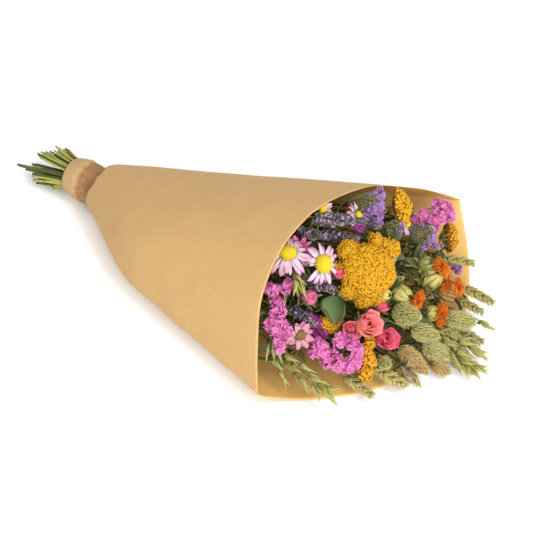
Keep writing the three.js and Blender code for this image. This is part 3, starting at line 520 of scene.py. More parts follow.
BAND_RADIUS, BAND_WIDTH, STRAND = 14.9, 5.4, 0.75
STRAND_ROWS, STRAND_SIDES = 64, 8
strands = Shape()
for turn in range(3):
    rings = []
    x = BAND_MIDDLE.x + between(-BAND_WIDTH / 2 + STRAND, BAND_WIDTH / 2 - STRAND, turn / 2)
    for j in range(STRAND_ROWS):
        angle = j / STRAND_ROWS * 2 * math.pi
        outward = Vector((0, math.cos(angle), math.sin(angle)))
        middle = Vector((x + 0.4 * math.sin(2 * angle + turn), 0, BAND_MIDDLE.z)) + outward * BAND_RADIUS
        rings.append([
            middle + outward * STRAND * math.cos(a) + Vector((STRAND * math.sin(a), 0, 0))
            for a in (i / STRAND_SIDES * 2 * math.pi for i in range(STRAND_SIDES))
        ])
    strands.skin(rings, [[(0, 0, 0.5)] * STRAND_SIDES] * STRAND_ROWS, closes=True)
settle("rubber_band", [strands.mesh("band", rubber)], to_metres, "rubber_band", "band")


# ------------------------------------------------------------------ yarrow
# Flat golden heads of hundreds of tiny buttons in round clusters, which stand on a fan of thin
# grey-green branches. Each is cut with its stem and dried upside down, so it keeps its dome.

UP = Vector((0, 0, 1))
GOLDEN = math.pi * (3 - math.sqrt(5))
stems_wanted = []  # the foot of each head, the way its stem comes in, and how thick it is


def outwards(angle):
    """A way out from a head's middle, across the way it faces."""
    return Vector((math.cos(angle), math.sin(angle), 0))


def raised(outward, rise):
    """A way out that is turned by an angle towards the way the head faces."""
    return outward * math.cos(rise) + UP * math.sin(rise)


def head_frame(at, faces, foot=None, thick=1.3):
    """A head's own axes: +Z is the way it faces and +Y nearly upright. foot is how far under its
    middle the stem comes in."""
    ahead = Vector(faces).normalized()
    right = UP.cross(ahead).normalized()
    turned = Matrix((right, ahead.cross(right), ahead)).transposed().to_4x4()
    if foot is not None:
        stems_wanted.append((Vector(at) - ahead * foot, ahead, thick))
    return to_metres @ Matrix.Translation(at) @ turned


def ring_round(middle, direction, radius, sides, turn=0.0):
    turned = UP.rotation_difference(direction)
    angles = [turn + j / sides * 2 * math.pi for j in range(sides)]
    return [middle + turned @ Vector((radius * math.cos(a), radius * math.sin(a), 0)) for a in angles]


def stalk(shape, points, radius, end_radius=None, sides=6, tint=0.5):
    """A round stalk through points."""
    end_radius = radius if end_radius is None else end_radius
    rings, marks = [], []
    last = len(points) - 1
    for k, point in enumerate(points):
        ahead = (points[min(k + 1, last)] - points[max(k - 1, 0)]).normalized()
        rings.append(ring_round(point, ahead, between(radius, end_radius, k / last), sides))
        marks.append([(k / last, 0, tint)] * sides)
    shape.skin(rings, marks)


def turned_shape(profile, sides, high=1, wide=1, lobes=0, depth=0.0, tint=0.5, shift=Vector((0, 0, 0)),
                 shape=None):
    """A shape turned from rows of height and radius, with lobes raised round it."""
    shape = shape or Shape()
    rings, marks = [], []
    last = len(profile) - 1
    for k, (z, radius) in enumerate((z * high, radius * wide) for z, radius in profile):
        ring = [shift + UP * z]
        if radius:
            angles = [j / sides * 2 * math.pi for j in range(sides)]
            reaches = [radius * (1 + depth * math.cos(lobes * a)) for a in angles]
            ring = [shift + Vector((r * math.cos(a), r * math.sin(a), z)) for r, a in zip(reaches, angles)]
        rings.append(ring)
        marks.append([(k / last, 0, tint)] * len(ring))
    shape.skin(rings, marks)
    return shape


def places_tree():
    """Puts a copy of a small shape on each place, turned as the place says, and gives each
    copy its own tint."""
    tree = bpy.data.node_groups.new("copies on their places", "GeometryNodeTree")
    for name, kind in (
        ("Places", "Geometry"), ("Shape", "Object"), ("Size Spread", "Float"), ("Lean", "Float"),
        ("Seed", "Int"), ("Finish", "Material"),
    ):
        tree.interface.new_socket(name, in_out="INPUT", socket_type="NodeSocket" + kind)
    tree.interface.new_socket("Head", in_out="OUTPUT", socket_type="NodeSocketGeometry")
    nodes = Nodes(tree)
    given = nodes.add("NodeGroupInput")

    def read(name):
        settings = {"data_type": "FLOAT_VECTOR"}
        return nodes.add("GeometryNodeInputNamedAttribute", settings, {"Name": name})

    def chance(kind, values, seed, out=0):
        return nodes.add("FunctionNodeRandomValue", {"data_type": kind}, {**values, "Seed": seed}, out)

    def scaled(vector, scale):
        return nodes.add("ShaderNodeVectorMath", {"operation": "SCALE"}, {0: vector, "Scale": scale})

    shape = nodes.add("GeometryNodeObjectInfo", {}, {"Object": given.of("Shape")}, out="Geometry")
    turned = nodes.add("FunctionNodeAlignRotationToVector", {"axis": "Z"}, {"Vector": read("facing")})
    turned = nodes.add("FunctionNodeAlignRotationToVector", {"axis": "X", "pivot_axis": "Z"},
                       {"Rotation": turned, "Vector": read("front")})
    lean = chance("FLOAT_VECTOR", {0: (-1, -1, -1), 1: (1, 1, 1)}, given.of("Seed"))
    lean = scaled(lean, given.of("Lean"))
    lean = nodes.add("FunctionNodeEulerToRotation", {}, {"Euler": lean})
    turned = nodes.add("FunctionNodeRotateRotation", {"rotation_space": "LOCAL"},
                       {"Rotation": turned, "Rotate By": lean})
    spread = chance("FLOAT", {2: -1.0, 3: 1.0}, given.of("Seed") + 5, out=1)
    scale = scaled(read("size"), spread * given.of("Size Spread") + 1)
    copies = nodes.add("GeometryNodeInstanceOnPoints", {}, {
        "Points": given.of("Places"), "Instance": shape, "Rotation": turned, "Scale": scale,
    })
    tint = chance("FLOAT", {2: 0.0, 3: 1.0}, given.of("Seed") + 9, out=1)
    copies = nodes.add("GeometryNodeStoreNamedAttribute", {"data_type": "FLOAT", "domain": "INSTANCE"},
                       {"Geometry": copies, "Name": "tint", "Value": tint})
    real = nodes.add("GeometryNodeRealizeInstances", {}, {"Geometry": copies})
    real = nodes.add("GeometryNodeSetMaterial", {}, {"Geometry": real, "Material": given.of("Finish")})
    nodes.add("NodeGroupOutput", {}, {"Head": real})
    return tree


copies_on_places = places_tree()


def grow(shape, places, finish, size_spread=0.15, lean=0.15, seed=1, smooth=True):
    """A mesh of copies of a small shape. A place is a point, the way the copy's +Z faces, the
    way its +X is turned, and its size."""
    small = bpy.data.objects.new("small shape", shape.mesh("small shape", smooth=smooth))
    small.data.attributes.remove(small.data.attributes["tint"])
    spots = bpy.data.meshes.new("places")
    points, facings, fronts, sizes = zip(*places)
    spots.from_pydata([tuple(point) for point in points], [], [])
    sizes = [size if isinstance(size, tuple) else (size,) * 3 for size in sizes]
    for name, vectors in (("facing", facings), ("front", fronts), ("size", sizes)):
        attribute = spots.attributes.new(name, "FLOAT_VECTOR", "POINT")
        rows = np.array([tuple(vector) for vector in vectors], dtype=np.float32)
        attribute.data.foreach_set("vector", rows.ravel())
    holder = bpy.data.objects.new("places", spots)
    for thing in (small, holder):
        bpy.context.scene.collection.objects.link(thing)
    modifier = holder.modifiers.new("copies", "NODES")
    modifier.node_group = copies_on_places
    given = {"Shape": small, "Size Spread": size_spread, "Lean": lean, "Seed": seed, "Finish": finish}
    for item in copies_on_places.interface.items_tree:
        if item.name in given:
            modifier[item.identifier] = given[item.name]
    holder.update_tag()
    graph = bpy.context.evaluated_depsgraph_get()
    mesh = bpy.data.meshes.new_from_object(
        holder.evaluated_get(graph), preserve_all_data_layers=True, depsgraph=graph)
    for name in ("facing", "front", "size"):
        if name in mesh.attributes:
            mesh.attributes.remove(mesh.attributes[name])
    for thing in (small, holder):
        bpy.data.objects.remove(thing)
    return mesh


def dried(name, stops, faded, fade=0.5, edge=None, patch=None, rough=0.8, grain=900, flecks=2.0,
          bump=0.4, glow=0.0):
    """A dried plant's finish: its colours from foot to tip, some parts more faded than others,
    a mottled dry grain, and where wanted a paler edge or a green patch on each leaf's back."""
    material, nodes = new_material(name)
    place = nodes.add("ShaderNodeTexCoord", out="Object")
    along, across, tint = (
        nodes.add("ShaderNodeAttribute", {"attribute_name": mark}, out="Fac") for mark in MARKS)
    mottle = grainy(nodes, place, 320, 3)
    fine = grainy(nodes, place, grain, 3)
    stops = [(share, seen(*colour)) for share, colour in stops.items()]
    colour = nodes.add("ShaderNodeValToRGB", {"stops": stops}, {"Fac": along + (mottle - 0.5) * 0.35})
    colour = nodes.mix((tint * fade * (mottle * 1.6)).clamped(), colour, seen(*faded))
    if edge:
        colour = nodes.mix((across**2).clamped() * 0.8, colour, seen(*edge))
    if patch:
        spot = (1 - across * 2.4).clamped() * (1 - (along - 0.6).maths("ABSOLUTE") * 7).clamped()
        colour = nodes.mix(spot, colour, seen(*patch))
    specks = ((fine - 0.55).maths("MAXIMUM", 0) * flecks).clamped()
    colour = nodes.mix(specks, colour, (0.03, 0.02, 0.01))
    height = fine * 0.6 + mottle * 0.4 + across * 0.3
    finish_material(nodes, colour, rough - 0.15 + fine * 0.3, height, bump=bump,
                    Subsurface_Weight=glow, Subsurface_Scale=0.002)
    return material


def disc_places(count, radius, power=0.5):
    """Points spread evenly over a disc, from its middle outwards."""
    for i in range(count):
        reach = radius * ((i + 0.5) / count) ** power
        yield Vector((reach * math.cos(i * GOLDEN), reach * math.sin(i * GOLDEN), 0))


YARROW_CLUSTER = 7.5  # how far apart the middles of a head's clusters are


def yarrow_button():
    return turned_shape([(-0.4, 0), (-0.1, 0.4), (0.12, 0.54), (0.36, 0.36), (0.34, 0)], 8)


def yarrow_dome(width, height, at, button, roll):
    """The places of one flat head's buttons, in clusters with seams between, and its branches."""
    radius = width / 2

    def jitter(size):
        return Vector([roll.uniform(-size, size) for _ in range(3)])

    clusters = max(4, round((width / YARROW_CLUSTER) ** 2))
    middles = [middle + jitter(1.4) for middle in disc_places(clusters, radius * 0.95)]
    rises = [roll.uniform(0.6, 2.6) for _ in middles]
    places, tips = [], []
    for middle in middles:
        share = min(middle.length / radius, 0.98)
        tips.append(at + Vector((middle.x, middle.y, height * (math.sqrt(1 - share**2) - 0.3))))
    for point in disc_places(round((width / button) ** 2 * 1.5), radius):
        point += jitter(0.45)
        order = sorted(range(len(middles)), key=lambda i: (point - middles[i]).length)
        near = [(point - middles[i]).length for i in order[:2]]
        share = min(point.length / radius, 0.985)
        flat = math.sqrt(1 - share**2)
        seam = 1.5 * max(0, 1 - (near[1] - near[0]))
        bump = rises[order[0]] * max(0, 1 - (near[0] / (YARROW_CLUSTER * 0.6)) ** 2) - seam
        normal = Vector((point.x / radius, point.y / radius, flat * radius / height * 0.9))
        facing = (normal.normalized() + (point - middles[order[0]]) * 0.12).normalized()
        spot = at + Vector((point.x, point.y, height * flat + bump)) + jitter(0.3)
        places.append((spot, facing, Vector((1, 0, 0)), button))
    return places, tips


def yarrow_head(where, at, faces, domes, finish, slot, foot, button):
    """A yarrow head of one or more domes on a fan of branches from the stem."""
    place = head_frame(at, faces, foot)
    roll = random.Random(len(domes) + round(at[0]))
    places, fan, bed = [], Shape(), Shape()
    for x, y, z, width, height in domes:
        spots, tips = yarrow_dome(width, height, Vector((x, y, z)), button, roll)
        places += spots
        start = Vector((x * 0.3, y * 0.3, -foot))
        rows = [(z - height * 0.1, 0), (z, width * 0.45), (z + height * 0.5, width * 0.43),
                (z + height * 0.88, width * 0.25), (z + height * 1.02, 0)]
        turned_shape(rows, 14, tint=0.2, shift=Vector((x, y, 0)), shape=bed)
        for tip in tips:
            knee = between(start, tip, 0.55) + Vector((0, 0, -1.5))
            stalk(fan, [start, knee, tip], 0.7, 0.55, sides=5, tint=roll.random())
    meshes = [
        grow(yarrow_button(), places, finish, size_spread=0.22, lean=0.25, seed=4),
        fan.mesh("fan", yarrow_green),
        bed.mesh("bed", yarrow_shade),
    ]
    settle(f"yarrow_{where}_head", meshes, place, slot, f"yarrow_{where}")


# Each button darkens towards its foot, painted shade for the gaps between the buttons, and the bed under
# them, yarrow shade, is painted shade that shows in the seams.
yarrow_gold = dried(
    "yarrow gold", {0.0: (188, 116, 4), 0.4: (216, 148, 4), 0.85: (234, 178, 14)},
    faded=(216, 150, 8), fade=0.6, rough=0.75, flecks=0.4, glow=0.08)
yarrow_amber = dried(
    "yarrow amber", {0.0: (172, 102, 6), 0.4: (218, 144, 8), 0.85: (240, 176, 34)},
    faded=(206, 140, 16), fade=0.6, rough=0.75, flecks=0.6, glow=0.08)
yarrow_shade = dried(
    "yarrow shade", {0.0: (160, 102, 12), 1.0: (186, 120, 10)}, faded=(170, 110, 12), fade=0.6)
yarrow_green = dried(
    "yarrow green", {0.0: (96, 98, 46), 1.0: (168, 158, 84)}, faded=(206, 190, 120), fade=0.7)

yarrow_head("main", (362, -23, 98), (0.62, -0.5, 0.6), [
    (-2, -1, 0, 52, 17), (-16, 20, -3, 22, 11), (11, 26, -5, 14, 9), (17, 21, -6, 13, 8),
    (24, 15, -4, 19, 10), (-28, 5, -5, 14, 8), (-22, -16, -5, 19, 10), (-9, -27, -6, 18, 10),
    (4, -26, -6, 20, 10), (14, -8, -2, 22, 12),
], yarrow_gold, "yarrow_yellow", foot=12, button=2.45)
yarrow_head("far", (343.5, 62, 110), (0.85, 0.27, 0.37), [
    (0, 0, -3, 27, 9), (4, 9, -4, 15, 8), (-5, -9, -4, 15, 8),
], yarrow_gold, "yarrow_yellow", foot=9, button=3.6)
yarrow_head("right", (370, 111, 52), (0.7, 0.7, -0.05), [
    (0, 0, -2, 30, 9),
], yarrow_amber, "yarrow_yellow", foot=9, button=2.7)
yarrow_head("low", (390, -64, 31), (0.7, -0.35, 0.62), [
    (0, 1, -1, 15, 8), (7, 14, -2, 12, 7), (-6, -13, -2, 14, 7), (3, -5, -2, 11, 7), (2, 8, -2, 10, 7),
], yarrow_amber, "yarrow_orange", foot=8, button=3.4)
yarrow_head("deep", (348, -62, 51), (0.75, -0.4, 0.5), [
    (0, 0, -1, 19, 8), (-8, 4, -2, 11, 7), (8, 5, -2, 12, 7),
], yarrow_amber, "yarrow_orange", foot=8, button=3)


# ------------------------------------------------------------------ statice
# Sprays of papery funnels with ruffled rims, packed along winged branches into uneven lobes. The
# pink and the purple ones keep their colour when they dry, and from behind their green tubes show.

def statice_funnel():
    shape = Shape()
    sides = 10
    rings = [[Vector((0, 0, -0.9))]]
    for radius, z, ruffle in ((0.2, -0.3, 0), (0.55, 0.05, 0.06), (1.0, 0.3, 0.3), (0.5, 0.0, 0.06)):
        ring = []
        for j in range(sides):
            angle = j / sides * 2 * math.pi
            crinkle = 1 if ruffle > 0.1 else 0
            reach = radius * (1 + crinkle * (0.17 * math.cos(5 * angle) + 0.12 * math.cos(3 * angle + 1)))
            wave = math.cos(5 * angle + 0.8) + 0.6 * math.cos(2 * angle)
            rise = z + ruffle * wave * (1 if j % 2 else 0.5)
            ring.append(Vector((reach * math.cos(angle), reach * math.sin(angle), rise)))
        rings.append(ring)
    rings.append([Vector((0, 0, -0.2))])
    shares = (0, 0.25, 0.55, 1, 0.55, 0.1)
    shape.skin(rings, [[(share, 0, 0.5)] * len(ring) for share, ring in zip(shares, rings)])
    return shape


def green_tube():
    """The ribbed calyx of one small flower, which is all that shows of it from behind."""
    profile = [(-1.6, 0), (-1.3, 0.12), (-0.2, 0.2), (0.5, 0.3), (0.3, 0)]
    return turned_shape(profile, 6, lobes=3, depth=0.2)


def lobe_places(lobes, floret, roll, fullness=1.0):
    """Places all over a spray's round lobes, each a middle and a radius, but not inside them."""
    places = []
    for *middle, radius in lobes:
        middle = Vector(middle)
        count = max(5, round(4 * math.pi * radius**2 / (floret * 0.78) ** 2 * fullness))
        for i in range(count):
            z = 1 - 2 * (i + 0.5) / count
            flat = math.sqrt(1 - z * z)
            outward = Vector((flat * math.cos(i * GOLDEN), flat * math.sin(i * GOLDEN), z))
            spot = middle + outward * radius * roll.uniform(0.86, 1.1)
            if all((spot - Vector(m)).length > r * 0.8 for *m, r in lobes):
                front = Vector([roll.uniform(-1, 1) for _ in range(3)])
                places.append((spot, outward, front, floret * 0.62))
    return places


def statice_spray(name, at, lobes, finish, foot, seed, floret=4.3, green=()):
    """A spray whose lobes lie to the right of its middle, above it and towards the camera. Its
    solid is named like it, and the loose bits have none."""
    roll = random.Random(seed)
    place = to_metres @ Matrix.Translation(at) @ view_axes
    foot = Vector(foot)
    ahead = ((view_axes @ -foot).normalized() + Vector((1, 0, 0))).normalized()
    stems_wanted.append((Vector(at) + view_axes @ foot, ahead, 1.4))
    branches = Shape()
    places = lobe_places(lobes, floret, roll)
    for *middle, radius in [*lobes, *green]:
        middle = Vector(middle)
        knee = between(foot, middle, 0.6) - Vector((0, 0, radius * 0.4))
        stalk(branches, [foot, knee, middle], 1.0, 0.7, sides=5, tint=roll.random())
    for spot, outward, _, _ in places[::2]:
        stalk(branches, [spot - outward * 5, spot - outward * 0.5], 0.5, 0.8, sides=4, tint=roll.random())
    meshes = [grow(statice_funnel(), places, finish, size_spread=0.35, lean=0.85, seed=seed, smooth=False)]
    if green:
        tubes = lobe_places(green, floret * 0.8, roll, 1.3)
        meshes.append(grow(green_tube(), tubes, statice_green, size_spread=0.3, lean=0.4, seed=seed))
    meshes.append(branches.mesh("branches", statice_green))
    node = [name.removesuffix("_spray")] if name.endswith("_spray") else []
    settle(name, meshes, place, SPRAY_SLOTS[finish], *node)


statice_green = dried(
    "statice green", {0.0: (74, 82, 40), 0.6: (124, 132, 74), 1.0: (190, 182, 130)},
    faded=(160, 154, 110), fade=0.7)
statice_pink = dried(
    "statice pink", {0.05: (204, 50, 134), 0.45: (238, 92, 178), 1.0: (255, 164, 218)},
    faded=(255, 136, 204), fade=0.7, rough=0.7, flecks=1.0, glow=0.15)
statice_magenta = dried(
    "statice magenta", {0.1: (100, 16, 80), 0.5: (176, 44, 140), 1.0: (214, 96, 186)},
    faded=(150, 44, 140), fade=0.5, glow=0.1)
statice_purple = dried(
    "statice purple", {0.05: (104, 52, 140), 0.45: (146, 92, 188), 1.0: (200, 152, 208)},
    faded=(214, 166, 206), fade=0.8, rough=0.7, glow=0.15)

SPRAY_SLOTS = {
    statice_pink: "statice_pink",
    statice_magenta: "bloom_magenta",
    statice_purple: "statice_purple",
}
statice_spray("statice_pink_near_spray", (319, -108, 74), [
    (8, 29, 0, 4.6), (11, 33, 0, 3), (-4, 27, 0, 5), (-8, 30, 0, 3.2), (0, 16, 0, 5), (1, 7, 0, 5.8),
    (-7, -4, 0, 4.8), (1.5, -8, 0, 8), (8, -10, 0, 4.8), (3, -19, 0, 6), (2, -26, 0, 4),
], statice_pink, foot=(-4, -38, -16), seed=2)
statice_spray("statice_pink_low_spray", (368, -84, 42), [
    (-13.5, 3, 0, 7.4), (-21, -1, -1, 3.4), (-16, 9, 0, 4), (-3, -2, -1, 5.2), (4, 10, 0, 5.2),
    (6, 15, -1, 3.4), (14, 10.5, 0, 6), (20, 3.5, -1, 4.4), (-7, -9, 0, 5.6), (4, -11, 1, 6.6),
    (13, -12, 0, 6), (19.5, -10, -1, 4), (20, -3, -1, 4),
], statice_pink, foot=(-6, 0, -16), seed=3)
statice_spray("statice_pink_far_spray", (355, 97, 80), [
    (13, 5, 0, 9), (8, 12.5, 0, 4.8), (20, 0.5, 0, 4.8), (17, 9, -1, 4), (3, -6, 0, 6.8),
    (4, -12.5, 0, 4), (-9.5, -4, 0, 5.4), (-5, 2, -1, 4.8), (-13, -2.5, 0, 3.4),
], statice_pink, foot=(-18, -4, -12), seed=4)
statice_spray("statice_pink_deep_spray", (338, -74, 46), [
    (2, 2, 0, 7), (-6, 5, 0, 5), (8, -2, 0, 5), (3, -7, 0, 4.5),
], statice_magenta, foot=(-8, 2, -10), floret=3.8, seed=5)
statice_spray("statice_purple_far_spray", (328, 33, 119), [
    (7, 13, 0, 4.4), (8, 17.5, 0, 2.8), (1, -1, 0, 5.8), (7, 1.5, 0, 4), (5.5, -7, 0, 4.4),
    (5, -13.5, 0, 4.4), (-4, -6.5, 0, 4), (-3, 11.5, 0, 2.4),
], statice_purple, foot=(-14, -10, -12), floret=3.9, seed=6,
    green=[(-3, 6, 0, 6.5), (-12, 1, 0, 5), (1, 10, 0, 4)])
statice_spray("statice_purple_mid_spray", (346, 42, 93), [
    (9, 7, -2, 3), (7, 0, -1, 3.2), (3, -5.5, 0, 4.2), (-3, -7.5, 0, 3),
], statice_purple, foot=(-16, -2, -8), floret=3.6, seed=7,
    green=[(-2, 1, 0, 8), (-8, -1, -1, 6), (3, 6, 0, 5)])
statice_spray("statice_purple_right_spray", (362, 69, 78), [
    (-7, 6, -2, 3), (2, 8, -1, 3.2), (9, 5, -1, 3.8), (11, -2, -1, 3.8), (8, -7, -1, 2.6),
    (1.5, -11, -1, 2.6), (16, -10, -2, 2.4),
], statice_purple, foot=(-14, -8, -10), floret=3.6, seed=8,
    green=[(0, 0, 0, 8.5), (7, 4, 0, 6), (-7, 4, -1, 5)])
statice_spray("statice_purple_edge_spray", (386, 100, 31), [
    (-4, 4, 0, 3.5), (2, 0, 0, 5), (3, -5, 0, 3),
], statice_purple, foot=(-8, 2, -6), floret=3.4, seed=9)
statice_spray("statice_lilac_bits", (375, 75, 67), [
    (0, 0, 0, 2.4), (-10, 2, 0, 2.4),
], statice_purple, foot=(-10, 0, -6), floret=3.2, seed=10)
statice_spray("statice_violet_low", (334, -77, 60), [
    (0, 0, 0, 5), (7, -3, 0, 4), (-7, 2, 0, 3.5),
], statice_magenta, foot=(-8, 0, -8), floret=3.4, seed=11)
statice_spray("statice_magenta_bits", (335, 2, 118), [
    (0, 0, 0, 3.5), (-3, 3, 0, 2.8),
], statice_magenta, foot=(-8, 0, -6), floret=3.2, seed=12)


# ------------------------------------------------------------------ lavender
# Thin spikes with whorls of ribbed grey-violet buds, some of them with their pale withered
# flowers still in the mouth. They are cut just before they open, so the buds stay on.

def lavender_bud():
    profile = [(0, 0), (0.12, 0.18), (0.45, 0.24), (0.85, 0.2), (1.0, 0.09), (0.92, 0)]
    return turned_shape(profile, 8, lobes=4, depth=0.16)


WHORL_LAYERS = (9, 9, 9, 5)  # how many buds stand in each layer of a whorl
WITHERED = 0.28  # the share of buds that still have their withered flower


def lavender_spike(where, at, faces, length, width, whorls, foot, seed):
    """Whorls of buds up a stalk, each in four layers, with withered flowers in some of them."""
    place = head_frame(at, faces, foot)
    roll = random.Random(seed)
    buds, flowers = [], []
    for k in range(whorls):
        share = (k + 0.5) / whorls
        swell = (0.62 + 0.38 * math.sin(math.pi * min(share + 0.18, 1))) * (1.05 - 0.3 * share)
        for layer, count in enumerate(WHORL_LAYERS):
            for j in range(count):
                angle = (j + 0.5 * layer) / count * 2 * math.pi + k
                outward = outwards(angle)
                z = -length / 2 + (share + (layer - 1.5) * 0.22 / whorls) * length - 2
                spot = outward * (width * 0.1) + UP * (z + roll.uniform(-0.5, 0.5))
                facing = (outward * (1.15 - layer * 0.25) + UP * 0.8).normalized()
                size = width * 0.42 * swell * roll.uniform(0.8, 1.15)
                buds.append((spot, facing, UP, (size * 0.9, size * 0.9, size * 1.1)))
                if roll.random() < WITHERED:
                    flowers.append((spot + facing * size, facing, UP, size * 0.34))
    core = Shape()
    stalk(core, [UP * -foot, UP * (length * 0.45)], 1.1, 0.8, tint=0.3)
    meshes = [
        grow(lavender_bud(), buds, lavender_grey, size_spread=0.2, lean=0.3, seed=seed),
        grow(statice_funnel(), flowers, lavender_cream, 0.3, 0.5, seed + 1, smooth=False),
        core.mesh("core", statice_green),
    ]
    settle(f"lavender_{where}_spike", meshes, place, "lavender_grey", f"lavender_{where}")


lavender_grey = dried(
    "lavender grey", {0.0: (54, 46, 40), 0.45: (98, 86, 104), 1.0: (146, 130, 164)},
    faded=(146, 134, 124), fade=0.6, grain=1500, bump=0.5)
lavender_cream = dried(
    "lavender cream", {0.0: (120, 96, 160), 1.0: (214, 196, 180)}, faded=(150, 120, 190), fade=0.8)
LAVENDERS = {  # each spike's middle, the way it points, its length, width, whorls and foot
    "top": ((326, -17, 136), (0.93, 0.05, 0.34), 60, 13, 8, 26),
    "far": ((334, 11, 115), (0.93, 0.12, 0.3), 38, 12, 5, 18),
    "mid": ((328, -18, 117), (0.93, -0.02, 0.34), 46, 11, 7, 22),
    "near": ((332, -57, 87), (0.93, -0.15, 0.25), 40, 14, 6, 18),
    "low": ((333, -84, 67), (0.9, -0.25, 0.1), 35, 12, 5, 16),
    "deep": ((308, -34, 121), (0.93, -0.1, 0.3), 34, 11, 5, 16),
}
for number, (where, spike) in enumerate(LAVENDERS.items()):
    lavender_spike(where, *spike, seed=11 + number)


# ------------------------------------------------------------------ paper daisies
# Everlasting daisies: thin papery rays, white at the foot and pink at the tip, hang back from
# a yellow disc of tiny florets. Small pointed green leaves stand round the disc.

def blade_rings(length, width, outline, bend=0.0, cup=0.0, thick=0.35, ruffle=0.0, ribs=0.0, steps=6,
                half=2, curl=0.0, twist=0.0, tint=0.5):
    """A petal, leaf or husk that grows along +Z and bends towards +X, its under side. The outline
    gives its width from foot to tip, cup lifts its edges, and curl rolls back its last third."""
    rings, marks = [], []
    middle = Vector((0, 0, 0))
    for k in range(steps + 1):
        share = k / steps
        lean = bend * share + curl * max(0, share - 0.62) / 0.38
        across = Vector((math.cos(lean), 0, -math.sin(lean)))
        spread = float(np.interp(share, np.linspace(0, 1, len(outline)), outline)) * width / 2
        turn = Quaternion((math.sin(lean), 0, math.cos(lean)), twist * share)

        def point(t, side):
            wave = ruffle * abs(t) ** 1.5 * math.sin(share * 11 + (2.2 if t > 0 else 0)) * min(1, share * 3)
            rib = ribs * math.cos(t * 2 * math.pi * 1.5)
            offset = -cup * spread * t * t + wave + (side * thick / 2 + rib) * (1 - t * t)
            return middle + turn @ (across * offset + Vector((0, t * spread, 0)))

        spans = [i / half for i in range(-half, half + 1)]
        if spread < 1e-6:
            rings.append([middle.copy()])
            marks.append([(share, 0, tint)])
        else:
            rings.append([point(t, 1) for t in spans] + [point(t, -1) for t in spans[-2:0:-1]])
            marks.append([(share, abs(t), tint) for t in spans + spans[-2:0:-1]])
        ahead = lean + bend / steps / 2
        middle = middle + Vector((math.sin(ahead), 0, math.cos(ahead))) * (length / steps)
    return rings, marks


def blade(*sizes, place=None, shape=None, **ways):
    """A petal, leaf or husk in its place, on its own or as part of a shape."""
    shape = shape or Shape()
    rings, marks = blade_rings(*sizes, **ways)
    shape.skin([[place @ p for p in ring] for ring in rings] if place else rings, marks)
    return shape


SEPAL = [0.8, 1, 0.5, 0]  # a sepal's width from its foot to its tip


def ray_places(count, radius, rise, size, drop=0.0, turn=0.0, keep=None):
    """Places of rays round a disc: rise is their angle over its plane."""
    places = []
    for j in range(count):
        angle = turn + j / count * 2 * math.pi
        if keep and not keep(angle % (2 * math.pi)):
            continue
        outward = outwards(angle)
        places.append((outward * radius + UP * -drop, raised(outward, rise), -UP, size))
    return places


def disc_floret():
    return turned_shape([(-0.4, 0), (-0.2, 0.46), (0.3, 0.52), (0.55, 0.3), (0.45, 0)], 6)


DISC_FLORET = 1.3


def daisy_disc(width, height, finish, seed):
    """A low dome of florets on its bed."""
    places = []
    radius = width / 2
    for point in disc_places(round((width / DISC_FLORET) ** 2 * 1.5), radius):
        share = min(point.length / radius, 0.99)
        rise = height * math.sqrt(1 - share**2)
        flat = max(0.15, math.sqrt(1 - share**2))
        facing = Vector((point.x / radius, point.y / radius, flat)).normalized()
        places.append((Vector((point.x, point.y, rise)), facing, Vector((1, 0, 0)), DISC_FLORET))
    profile = [(-1, 0), (-0.5, radius * 0.9), (height * 0.5, radius * 0.84), (height * 0.9, radius * 0.42),
               (height * 1.02, 0)]
    bed = turned_shape(profile, 20, tint=0.2)
    return [grow(disc_floret(), places, finish, 0.15, 0.2, seed), bed.mesh("bed", finish)]


def daisy_rays(width, cup, finish, rise, droop, seed, count=16, petal=5.2, lean=0.2, keep=None,
               outline=(0.4, 0.85, 1, 0.95, 0.75, 0.3)):
    """Rays in two layers over each other and the green cup that holds them."""
    length = (width - cup * 0.7) / 2 * 1.08
    meshes = []
    for layer in range(2):
        ray = blade(
            length, petal, outline, bend=droop, cup=0.22, ribs=0.12, thick=0.3, ruffle=0.35, steps=7)
        places = ray_places(
            count, cup * 0.36, rise - layer * 0.2, 1 - layer * 0.07, drop=0.4 + layer * 0.8,
            turn=layer * math.pi / count, keep=keep)
        meshes.append(grow(ray, places, finish, size_spread=0.12, lean=lean, seed=seed + layer))
    profile = [(-cup * 0.75, 0), (-cup * 0.6, cup * 0.18), (-cup * 0.25, cup * 0.42), (0.2, cup * 0.5),
               (0.5, 0)]
    sepal = blade(cup * 0.6, 1.9, SEPAL, bend=0.5, cup=0.4, steps=3, half=1)
    sepals = ray_places(17, cup * 0.42, 0.5, 1, drop=0.2)
    meshes.append(turned_shape(profile, 12, tint=0.4).mesh("cup", daisy_green))
    meshes.append(grow(sepal, sepals, daisy_green, 0.2, 0.3, seed + 7))
    return meshes


